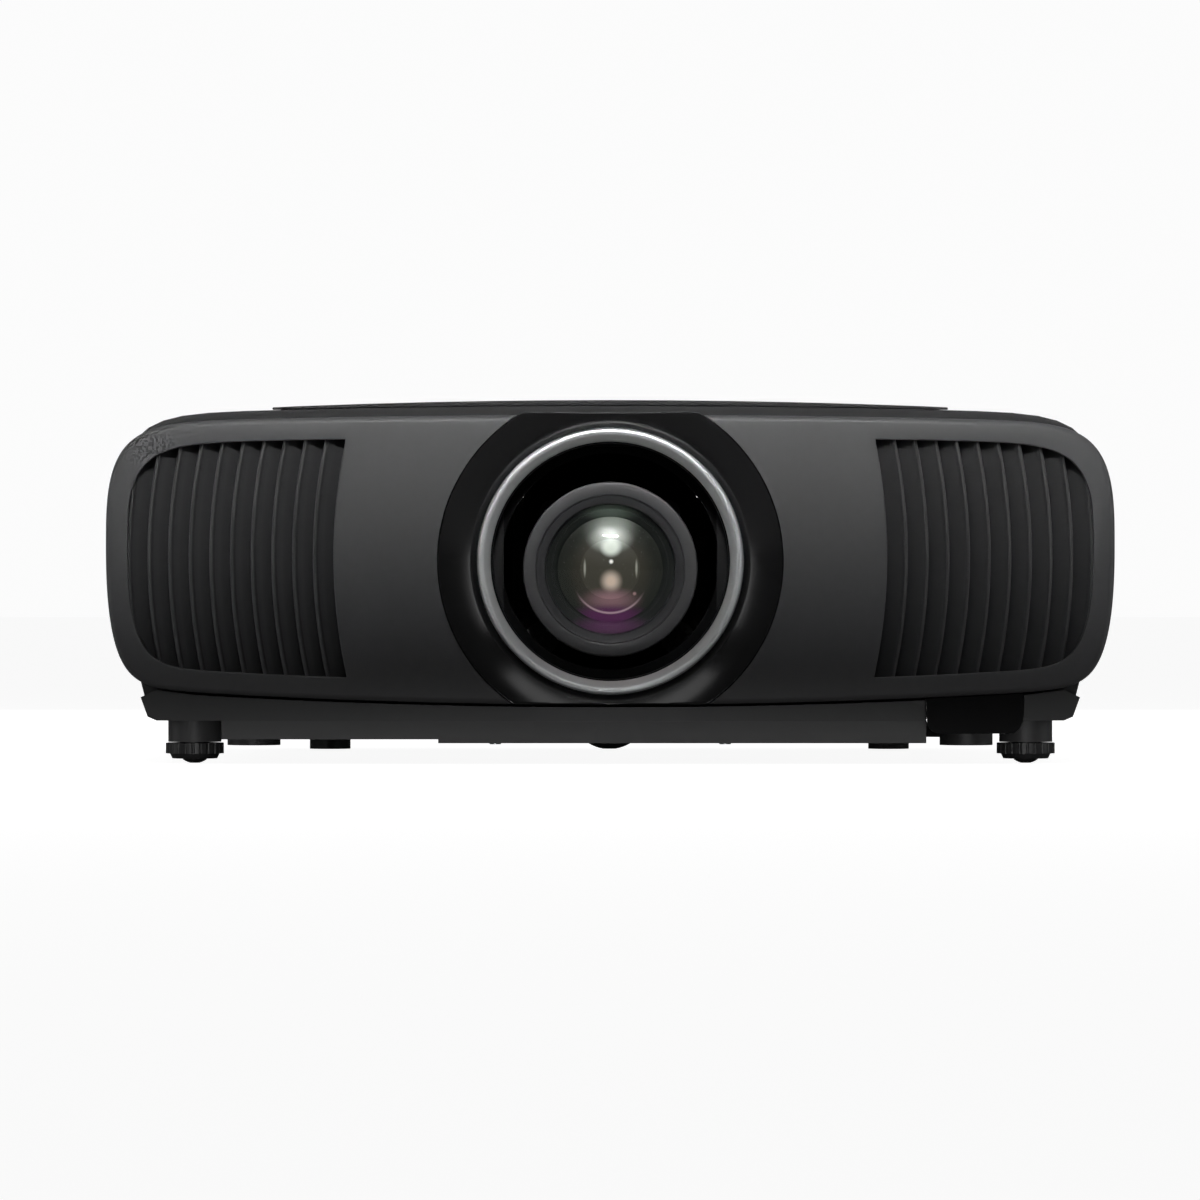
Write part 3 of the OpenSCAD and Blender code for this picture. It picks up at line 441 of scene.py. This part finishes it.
def bezel_loop(i=0.0, ds=2.2):
    a = A0 - i
    s = np.concatenate([np.linspace(0, 0.9, 120), 1 - np.geomspace(0.1, 1e-7, 500), [1.0]])
    x = s * a
    t = np.stack([x, top_z(x, i)], 1)
    b = np.stack([x, bot_z(x, i)], 1)
    right = np.vstack([b, t[::-1][1:]])
    left = right[::-1] * [-1, 1]
    return resample(np.vstack([right, left[1:-1]]), ds)


def revolve(name, profile, cx, cz, mat, n=128, wobble=None, closed=True, smooth=30, bevel=0.0, arc=None):
    """Solid of revolution about the Y axis through (cx, cz). profile holds (radius, y) in mm."""
    b = Build()
    rows = []
    for r, y in profile:
        if r < 1e-6:
            rows.append([b.loop([(cx, y, cz)])[0]] * n)
            continue
        t = np.arange(n) * 2 * math.pi / n
        rr = r + (wobble(t, r, y) if wobble else 0)
        rows.append(b.loop(np.stack([cx + rr * np.cos(t), np.full(n, y), cz + rr * np.sin(t)], 1)))
    pairs = list(zip(rows, rows[1:])) + ([(rows[-1], rows[0])] if closed else [])
    for p, q in pairs:
        for k in range(n):
            j = (k + 1) % n
            ids = [p[k], p[j], q[j], q[k]]
            f = []
            for i in ids:
                if i not in f:
                    f.append(i)
            if len(f) > 2:
                b.f.append(tuple(f))
    return b.done(name, mat, smooth=smooth, bevel=bevel)


def fillet(cx, cy, r, a0, a1, n=6):
    return [(cx + r * math.cos(math.radians(a0 + (a1 - a0) * k / n)), cy + r * math.sin(math.radians(a0 + (a1 - a0) * k / n))) for k in range(n + 1)]


def place(o, body, *replaced, slot=None):
    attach(o, body)
    if replaced:
        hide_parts(*replaced)
    return o


# ---------------------------------------------------------------------------
# front bezel
# ---------------------------------------------------------------------------
OPEN_X, LR, LZ, PITCH = 142.0, 285.0, 106.6, 10.7


def opening_loop(s, inset=11.5, shift=0.0, ds=2.0):
    """The grille opening: the bezel's outline taken in, cut by an arc on the lens side."""
    cx = s * (OPEN_X - shift - LR)
    lp = bezel_loop(inset, 0.8)
    lp = lp[(lp[:, 0] * s > 60)]
    d = np.hypot(lp[:, 0] - cx, lp[:, 1] - LZ)
    keep = lp[d > LR]
    order = np.argsort(np.arctan2(keep[:, 1] - LZ, (keep[:, 0] - s * 190) * s))
    keep = keep[order]
    z1, z0 = keep[-1, 1], keep[0, 1]
    t1, t0 = math.asin((z1 - LZ) / LR), math.asin((z0 - LZ) / LR)
    arc = np.array([[cx + s * LR * math.cos(t), LZ + LR * math.sin(t)] for t in np.linspace(t1, t0, 90)[1:-1]])
    full = np.vstack([keep, arc])
    # keep the two corners on the lens side, resampling each stretch on its own
    k = resample(keep, ds, closed=False)
    a = resample(np.vstack([keep[-1:], arc, keep[:1]]), ds, closed=False)
    return np.vstack([k, a[1:-1]])


def offset_loop(p, d):
    """The loop moved outward by d, each point along its own normal, mitred where it turns sharply."""
    e = np.roll(p, -1, 0) - p
    e /= np.linalg.norm(e, axis=1)[:, None] + 1e-12
    n = np.stack([e[:, 1], -e[:, 0]], 1)
    if np.sum(p[:, 0] * np.roll(p[:, 1], -1) - np.roll(p[:, 0], -1) * p[:, 1]) < 0:
        n = -n
    pn = np.roll(n, 1, 0)
    m = n + pn
    m /= np.linalg.norm(m, axis=1)[:, None] + 1e-12
    c = np.clip(np.sum(m * n, axis=1), 0.45, 1)
    return p + m * (d / c)[:, None]


def face_points(loop, holes, step, clear):
    xs = np.arange(loop[:, 0].min(), loop[:, 0].max(), step)
    zs = np.arange(loop[:, 1].min(), loop[:, 1].max(), step)
    g = np.array([[x + (0.5 * step if k % 2 else 0), z] for k, z in enumerate(zs) for x in xs])
    ok = inside(g, loop)
    for h in holes:
        ok &= ~inside(g, h)
    g = g[ok]
    near = np.full(len(g), 1e9)
    for lp in [loop, *holes]:
        for c in np.array_split(lp, max(1, len(lp) // 200)):
            near = np.minimum(near, np.min(np.hypot(g[:, None, 0] - c[None, :, 0], g[:, None, 1] - c[None, :, 1]), axis=1))
    return g[near > clear]


def make_bezel():
    b = Build()
    rim, wall, edge = 3.0, 2.2, 0.7
    outer = bezel_loop(0)
    rows = []
    for k in range(8):
        a = math.radians(90 * k / 7)
        lp = offset_loop(outer, -rim * (1 - math.sin(a)))
        rows.append((lp, fy(lp[:, 0]) + rim * (1 - math.cos(a))))
    face = rows[0][0]
    rows.append((outer, fy(outer[:, 0]) + 9))
    rows.append((outer, np.full(len(outer), -169.2)))
    for o, y in ((-0.35, -168.35), (-1.1, -168.0), (-1.9, -168.3), (-wall, -169.2)):
        lp = offset_loop(outer, o)
        rows.append((lp, np.full(len(lp), y)))
    inner = offset_loop(outer, -wall)
    rows.append((inner, fy(inner[:, 0]) + 6))
    deep = offset_loop(outer, -wall - 1.4)
    rows.append((deep, fy(deep[:, 0]) + wall + 0.3))
    ids = [b.loop(np.stack([lp[:, 0], y, lp[:, 1]], 1)) for lp, y in rows]
    for p, q in zip(ids, ids[1:]):
        b.bridge(p, q)
    fronts, backs, front_ids, back_ids = [], [], [], []
    for s in (-1, 1):
        hole = opening_loop(s)
        prev = None
        for k in range(5):
            a = math.radians(90 * k / 4)
            lp = offset_loop(hole, edge * (1 - math.sin(a)))
            cur = b.loop(np.stack([lp[:, 0], fy(lp[:, 0]) + edge * (1 - math.cos(a)), lp[:, 1]], 1))
            if k == 0:
                fronts.append(lp); front_ids.append(cur)
            else:
                b.bridge(prev, cur)
            prev = cur
        lp = hole
        cur = b.loop(np.stack([lp[:, 0], fy(lp[:, 0]) + wall + 0.3, lp[:, 1]], 1))
        b.bridge(prev, cur)
        backs.append(lp); back_ids.append(cur)
    b.face_between([face, *fronts], [ids[0], *front_ids], face_points(face, fronts, 6.0, 2.6), lambda x, z: fy(x), fronts)
    b.face_between([deep, *backs], [ids[-1], *back_ids], face_points(deep, backs, 9.0, 3.0), lambda x, z: fy(x) + wall + 0.3, backs, flip=True)
    o = b.done("bezel_shell", M["bezel"])
    c = Build()
    t = np.arange(256) * 2 * math.pi / 256
    ring = lambda r, y: c.loop(np.stack([r * np.cos(t), np.full(256, y), 104 + r * np.sin(t)], 1))
    a1, a2 = ring(88.9, -232), ring(88.9, -203.4)
    c.bridge(a1, a2); c.cap(a1, True); c.cap(a2)
    cutter = c.done("cutter", M["bezel"])
    cut(o, cutter)
    shade(o, 35)
    return place(o, "root", "front_bezel", slot="textured_black")


make_bezel()


# ---------------------------------------------------------------------------
# louvred grilles
# ---------------------------------------------------------------------------
def make_grille(s, name, node):
    b = Build()
    cx_of = lambda i: OPEN_X + PITCH * (i + 1) - LR
    # radius offset from the ridge, depth behind the ridge's crest
    prof = [(-0.02, 2.8), (0.0, 1.3), (-0.12, 0.7), (-0.45, 0.22), (-0.95, 0.0), (-1.45, 0.02), (-1.9, 0.22), (-2.25, 0.62), (-2.6, 1.1), (-3.2, 1.6), (-5.0, 2.6), (-7.0, 3.85),
            (-9.0, 5.3), (-10.6, 6.5), (-11.15, 6.95), (-11.3, 7.4), (-11.1, 7.9), (-10.4, 8.0), (-8.0, 6.8), (-5.5, 5.3), (-3.0, 4.1), (-1.2, 3.4)]
    for i in range(10):
        cx = cx_of(i)
        x_mid = OPEN_X + PITCH * (i + 1)
        y0 = fy(x_mid) + 1.9
        cols = []
        for dr, dy in prof:
            r = LR + dr
            xr = cx + r
            lim = A0 - 11.5 + 0.8
            if xr > lim:
                r -= xr - lim
            def edge_t(sign):
                lo, hi = 0.0, 0.36
                for _ in range(40):
                    m = (lo + hi) / 2
                    x, z = cx + r * math.cos(m), LZ + sign * r * math.sin(m)
                    bound = top_z(np.array(x), 10.6) if sign > 0 else bot_z(np.array(x), 10.6)
                    if (z < bound) if sign > 0 else (z > bound):
                        lo = m
                    else:
                        hi = m
                return lo
            t = np.linspace(-edge_t(-1), edge_t(1), 64)
            cols.append(b.loop(np.stack([s * (cx + r * np.cos(t)), np.full(64, y0 + dy), LZ + r * np.sin(t)], 1)))
        for p, q in zip(cols, cols[1:] + cols[:1]):
            b.bridge(p, q, closed=False)
        for end in (0, -1):
            b.f.append(tuple(c[end] for c in cols))
    o = b.done(name, M["louvre"], smooth=40)
    place(o, "root", node, slot="grille_black")
    # the frame that carries the louvres, a return wall behind the opening
    f = Build()
    lp0, lp1 = opening_loop(s, 11.2, 0.3), None
    rows = []
    for d, y in ((0.3, 2.6), (0.3, 15.5), (2.2, 15.5), (2.2, 2.6)):
        lp = offset_loop(opening_loop(s), d)
        rows.append(f.loop(np.stack([lp[:, 0], fy(lp[:, 0]) + y, lp[:, 1]], 1)))
    for p, q in zip(rows, rows[1:] + rows[:1]):
        f.bridge(p, q)
    fr = f.done(name + "_frame", M["inner"], smooth=40)
    place(fr, "root", slot="grille_black")


make_grille(-1, "louvres_left", "grille_left")
make_grille(1, "louvres_right", "grille_right")


# ---------------------------------------------------------------------------
# lens recess
# ---------------------------------------------------------------------------
def make_surround():
    b = Build()
    n = 384
    t = np.arange(n) * 2 * math.pi / n
    c, s = np.cos(t), np.sin(t)
    zr = 104.0
    # distance from the ring's centre to the bezel's outline (grown a little) along each direction
    reach = np.full(n, 88.5)
    for k in range(n):
        lo, hi = 0.0, 88.5
        ok = lambda r: (zr + r * s[k] < 180.2) and (zr + r * s[k] > bot_z(np.array(r * c[k])) - 0.1)
        if not ok(hi):
            for _ in range(40):
                m = (lo + hi) / 2
                lo, hi = (m, hi) if ok(m) else (lo, m)
            reach[k] = lo
    rows = []

    def row(r, y):
        r = np.minimum(r, reach)
        rows.append(b.loop(np.stack([r * c, np.maximum(y, fy(r * c)), zr + r * s], 1)))

    rim_y = fy(88.5 * c) + 0.05

    def dish(r):
        u = (r - 69.3) / (88.5 - 69.3)
        return -206.9 + (rim_y + 206.9) * (1.34 * u - 0.34 * u * u)

    row(np.full(n, 68.8), np.full(n, -203.6))
    row(np.full(n, 68.8), np.full(n, -206.2))
    row(np.full(n, 68.95), np.full(n, -206.65))
    for u in np.linspace(0, 1, 22):
        r = 69.3 + (reach - 0.8 - 69.3) * u
        row(r, dish(r))
    for a in (20, 40, 60, 78, 90):
        q = math.radians(a)
        r = reach - 0.8 + 0.8 * math.sin(q)
        row(r, dish(reach - 0.8) - 0.35 * math.sin(q) + 0.8 * (1 - math.cos(q)))
    row(reach, dish(reach - 0.8) + 2.2)
    row(reach, np.full(n, -203.6))
    for p, q in zip(rows, rows[1:] + rows[:1]):
        b.bridge(p, q)
    o = b.done("lens_funnel", M["gloss"], smooth=28)
    return place(o, "root", "lens_surround", slot="gloss_black")


make_surround()

ring = revolve("trim_ring", [(61.6, -201.3), (61.6, -203.4), (62.0, -204.2), (64.6, -208.4), (65.2, -209.3), (65.9, -209.8), (66.8, -210.0), (67.6, -209.8), (68.2, -209.2),
                             (68.5, -208.2), (68.6, -206.0), (68.6, -201.3)], 0, 104, M["silver"], n=256, smooth=50)
place(ring, "root", "lens_trim_ring", slot="trim_silver")
well = revolve("recess_sleeve", [(61.5, -203.2), (61.5, -201.2), (62.9, -200.9), (62.9, -193.8), (61.3, -193.6), (60.9, -194.2), (60.7, -196.0), (60.6, -199.0), (60.8, -202.2), (61.1, -203.0)], 0, 104, M["baffle"], n=192, smooth=40)
place(well, "root", "lens_well", slot="inner_black")

# ---------------------------------------------------------------------------
# lens: front cell, rings and glass
# ---------------------------------------------------------------------------
LZ0 = 100.0
cell = revolve("lens_cell", [(43.2, -164.0), (45.3, -164.0), (45.3, -182.9), (45.15, -183.5), (44.75, -183.9), (44.2, -184.0), (39.2, -184.0), (38.7, -183.85), (38.35, -183.4), (38.2, -182.8),
                             (37.9, -182.4), (37.4, -182.2), (34.6, -180.3), (34.0, -179.7), (33.7, -179.0), (33.5, -178.2), (33.5, -136.0), (35.4, -136.0), (35.4, -178.0), (43.2, -178.0)],
               0, LZ0, M["anodised"], n=256, smooth=22)
place(cell, "lens_front", "lens_front_cell", slot="lens_black")


def cap(name, r, y_edge, bulge, mat, thick=None, n=128, rings=18):
    """A shallow spherical cap facing -Y: its rim at y_edge, its middle bulge mm in front of that."""
    prof = []
    R = (r * r + bulge * bulge) / (2 * bulge) if abs(bulge) > 1e-6 else 1e9
    for k in range(rings + 1):
        q = r * k / rings
        prof.append((q, y_edge - (math.copysign(1, bulge) * (math.sqrt(R * R - q * q) - math.sqrt(R * R - r * r)))))
    if thick is not None:
        prof += [(r, y_edge + thick)] + [(r * k / 6, y_edge + thick + 0.0) for k in range(5, -1, -1)]
        return revolve(name, prof, 0, LZ0, mat, n=n, closed=False, smooth=30)
    return revolve(name, prof, 0, LZ0, mat, n=n, closed=False, smooth=30)


def painted(name, base, painted_reflection_patches, rough=0.25, painted_glow=0.35, ior=1.6, gain=1.0):
    """Coated glass seen through the front element, drawn as painted reflections: soft patches of reflected-light colour
    from the coatings, laid out about the lens axis (mm), which also glow as emission.
    """
    m, t, b = principled(name)
    co = t.nodes.new("ShaderNodeTexCoord").outputs["Object"]
    n0 = noise(t, co, 220, 3.0)
    col = ramp(t, n0, [(0.25, tuple(v * 0.85 for v in base)), (0.75, tuple(v * 1.15 for v in base))])

    def dist(cx, cz, rx, rz):
        sub = t.nodes.new("ShaderNodeVectorMath"); sub.operation = "SUBTRACT"
        t.links.new(co, sub.inputs[0]); sub.inputs[1].default_value = (cx * 0.001, 0, (LZ0 + cz) * 0.001)
        mul = t.nodes.new("ShaderNodeVectorMath"); mul.operation = "MULTIPLY"
        t.links.new(sub.outputs[0], mul.inputs[0]); mul.inputs[1].default_value = (1000 / rx, 0, 1000 / rz)
        ln = t.nodes.new("ShaderNodeVectorMath"); ln.operation = "LENGTH"
        t.links.new(mul.outputs[0], ln.inputs[0])
        return ln.outputs["Value"]

    def fade(v, full, zero, top):
        r = t.nodes.new("ShaderNodeMapRange"); r.interpolation_type = "SMOOTHSTEP"
        r.inputs["From Min"].default_value = zero
        r.inputs["From Max"].default_value = full
        r.inputs["To Min"].default_value = 0
        r.inputs["To Max"].default_value = top
        t.links.new(v, r.inputs["Value"])
        return r.outputs["Result"]

    for kind, cx, cz, rx, rz, hard, top, c in painted_reflection_patches:
        if kind == "spot":
            f = fade(dist(cx, cz, rx, rz), hard, 1.0, top)
        else:  # a thin painted ring of reflected light, of radius rx and width rz; hard is the half size of the patch it shows in, below the centre
            d = dist(cx, cz, 1, 1)
            sb = t.nodes.new("ShaderNodeMath"); sb.operation = "SUBTRACT"
            t.links.new(d, sb.inputs[0]); sb.inputs[1].default_value = rx
            ab = t.nodes.new("ShaderNodeMath"); ab.operation = "ABSOLUTE"
            t.links.new(sb.outputs[0], ab.inputs[0])
            line = fade(ab.outputs[0], 0.0, rz, top)
            mask = fade(dist(cx, cz - rx, hard, hard * 0.8), 0.3, 1.0, 1.0)
            mm = t.nodes.new("ShaderNodeMath"); mm.operation = "MULTIPLY"
            t.links.new(line, mm.inputs[0]); t.links.new(mask, mm.inputs[1])
            f = mm.outputs[0]
        mx = t.nodes.new("ShaderNodeMix"); mx.data_type = "RGBA"
        t.links.new(f, mx.inputs["Factor"])
        t.links.new(col, mx.inputs["A"])
        mx.inputs["B"].default_value = (*[v * gain for v in c], 1)
        col = mx.outputs["Result"]
    t.links.new(col, b.inputs["Base Color"])
    # the painted reflections also go to Emission, so this glass glows with them though it is no lamp
    t.links.new(col, b.inputs["Emission Color"])
    b.inputs["Emission Strength"].default_value = painted_glow
    t.links.new(span(t, noise(t, co, 900, 2.0), rough * 0.85, rough * 1.2), b.inputs["Roughness"])
    b.inputs["IOR"].default_value = ior
    return m


g_front = optic("coat_front", (0.80, 1.0, 0.86), 0.16, rough=0.015, ior=1.7)
# painted reflections of the studio lights on the inner element: pale green at the top, a warm patch and a white glint
# in the middle, two vertical highlights, pink and purple crescents below and a thin pink arc, all given off as emission
g_pupil = painted("painted_reflections_group", (0.022, 0.024, 0.020), [
    ("spot", 0, -1, 25.5, 25.5, 0.55, 0.85, (0.052, 0.049, 0.037)),
    ("spot", 0, 22, 17, 14, 0.10, 0.95, (0.15, 0.19, 0.15)),
    ("spot", 0, 15.5, 13.5, 8.5, 0.25, 0.9, (0.33, 0.37, 0.32)),
    ("spot", 0.4, 11.5, 6.6, 6.0, 0.35, 0.95, (0.62, 0.68, 0.60)),
    ("spot", 0.5, 4.0, 1.5, 1.6, 0.2, 1.0, (0.85, 0.85, 0.80)),
    ("spot", -13.2, 0.5, 0.9, 6.0, 0.2, 0.8, (0.36, 0.36, 0.30)),
    ("spot", 13.6, 0.5, 0.9, 6.0, 0.2, 0.8, (0.36, 0.36, 0.30)),
    ("spot", 0.4, -6.2, 6.8, 7.2, 0.15, 0.95, (0.64, 0.52, 0.42)),
    ("spot", 0.2, -16.0, 19, 8.0, 0.10, 0.9, (0.30, 0.17, 0.19)),
    ("spot", 12.6, -12.6, 1.3, 1.3, 0.2, 0.9, (0.50, 0.30, 0.30)),
    ("spot", 0, -23.8, 25, 7.0, 0.25, 0.95, (0.115, 0.030, 0.105)),
    ("ring", 0, -3.2, 19.4, 0.9, 24.0, 0.9, (0.62, 0.44, 0.48)),
], painted_glow=0.52)
# painted reflections on the element seat: greenish at the top, purple at the bottom, given off as emission
g_rim = painted("painted_reflections_rim", (0.010, 0.012, 0.0105), [
    ("spot", 0, 30.5, 20, 7, 0.10, 0.9, (0.11, 0.14, 0.115)),
    ("spot", 0, -29.5, 26, 7, 0.10, 0.95, (0.12, 0.032, 0.11)),
], painted_glow=0.3, rough=0.5, ior=1.4)

glass = cap("front_element", 33.2, -178.4, 8.4, g_front, thick=1.4)
place(glass, "lens_front", "front_glass", slot="lens_glass")
e2 = cap("second_element", 27.6, -173.4, 5.2, g_pupil, thick=2.0)
place(e2, "lens_front", slot="lens_glass")
e3 = revolve("element_seat", [(33.35, -175.2), (33.35, -171.0), (27.0, -171.0), (27.0, -173.2), (27.6, -173.9), (28.6, -174.3), (31.5, -174.9)], 0, LZ0, g_rim, n=192, smooth=35)
place(e3, "lens_front", slot="lens_black")
e4 = cap("rear_element", 30.0, -150.0, 6.0, M["window"], thick=2.5)
place(e4, "lens_front", slot="lens_glass")
rg = revolve("element_ring", [(33.3, -160.5), (33.3, -146.0), (29.5, -146.0), (29.5, -157.5), (30.8, -159.9)], 0, LZ0, M["baffle"], n=160, smooth=30)
place(rg, "lens_front", slot="lens_black")

# ---------------------------------------------------------------------------
# everything the CAD holds that already has its true shape
# ---------------------------------------------------------------------------
KEEP = {
    "shutter_frame": ("inner", 0.3), "shutter_left": ("baffle", 0.2), "shutter_right": ("baffle", 0.2), "shutter_pinion": ("gear", 0.0), "shutter_motor": ("inner", 0.3),
    "sensor_window": ("window", 0.4), "top_cover": ("top", 0.0), "top_plate": ("top", 0.6), "bottom_case": ("lower", 0.5), "rear_cover": ("top", 0.3),
    "filter_cover": ("top", 0.3), "air_filter": ("filter", 0.0), "panel_door": ("top", 0.3), "keypad_plate": ("inner", 0.4), "power_button": ("key", 0.5),
    "nav_ring": ("key", 0.7), "enter_button": ("key", 0.5), "menu_button": ("key", 0.5), "back_button": ("key", 0.5), "interface_panel": ("inner", 0.2),
    "video_sockets": ("socket", 0.0), "data_sockets": ("socket", 0.0), "network_socket": ("socket", 0.0), "serial_port": ("socket", 0.0), "trigger_jack": ("inner", 0.3),
    "mains_inlet": ("inner", 0.4), "foot_left_pad": ("rubber", 0.2), "foot_left_dial": ("dial", 0.3), "foot_right_pad": ("rubber", 0.2), "foot_right_dial": ("dial", 0.3),
    "rear_feet": ("rubber", 0.6), "mount_inserts": ("brass", 0.2), "case_screws": ("steel", 0.15), "base_chassis": ("steel", 0.2), "shift_frame": ("inner", 0.4),
    "shift_v_plate": ("inner", 0.4), "shift_h_plate": ("inner", 0.4), "lens_barrel": ("anodised", 0.4), "focus_ring": ("anodised", 0.0), "focus_pinion": ("pinion", 0.0),
    "zoom_ring": ("anodised", 0.0), "zoom_pinion": ("pinion", 0.0), "zoom_group": ("window", 0.2), "optical_engine": ("engine", 0.6), "prism_block": ("window", 0.3),
    "phosphor_wheel": ("phosphor", 0.1), "laser_module": ("alu", 0.4), "heat_sink": ("alu", 0.15), "fan_frames": ("inner", 0.5), "intake_fan": ("inner", 0.2),
    "exhaust_fan": ("inner", 0.2), "main_board": ("board", 0.1),
}
for n, (mat, width) in KEEP.items():
    o = NODES[n]
    o.data.materials.clear()
    o.data.materials.append(M[mat])
    w = o.modifiers.new("weld", "WELD")
    w.merge_threshold = 2e-6
    if width:
        soften(o, width * 0.001, 3 if width >= 0.4 else 2)

# smooth shading by angle on the kept nodes, through a modifier, so that the nodes' own meshes stay as they are
sg = bpy.data.node_groups.new("shade_by_angle", "GeometryNodeTree")
sg.interface.new_socket("Geometry", in_out="INPUT", socket_type="NodeSocketGeometry")
sg.interface.new_socket("Geometry", in_out="OUTPUT", socket_type="NodeSocketGeometry")
gi, go = sg.nodes.new("NodeGroupInput"), sg.nodes.new("NodeGroupOutput")
all_faces = sg.nodes.new("GeometryNodeSetShadeSmooth")
hard_edges = sg.nodes.new("GeometryNodeSetShadeSmooth")
hard_edges.domain = "EDGE"
hard_edges.inputs["Shade Smooth"].default_value = False
edge_angle = sg.nodes.new("GeometryNodeInputMeshEdgeAngle")
steep = sg.nodes.new("ShaderNodeMath")
steep.operation = "GREATER_THAN"
steep.inputs[1].default_value = math.radians(32)
sg.links.new(edge_angle.outputs[0], steep.inputs[0])
sg.links.new(steep.outputs[0], hard_edges.inputs["Selection"])
sg.links.new(gi.outputs[0], all_faces.inputs["Geometry"])
sg.links.new(all_faces.outputs[0], hard_edges.inputs["Geometry"])
sg.links.new(hard_edges.outputs[0], go.inputs[0])
for n in KEEP:
    md = NODES[n].modifiers.new("shade", "NODES")
    md.node_group = sg
    wn = NODES[n].modifiers.new("flat_faces", "WEIGHTED_NORMAL")
    wn.mode = "FACE_AREA"
    wn.weight = 60
    wn.keep_sharp = True
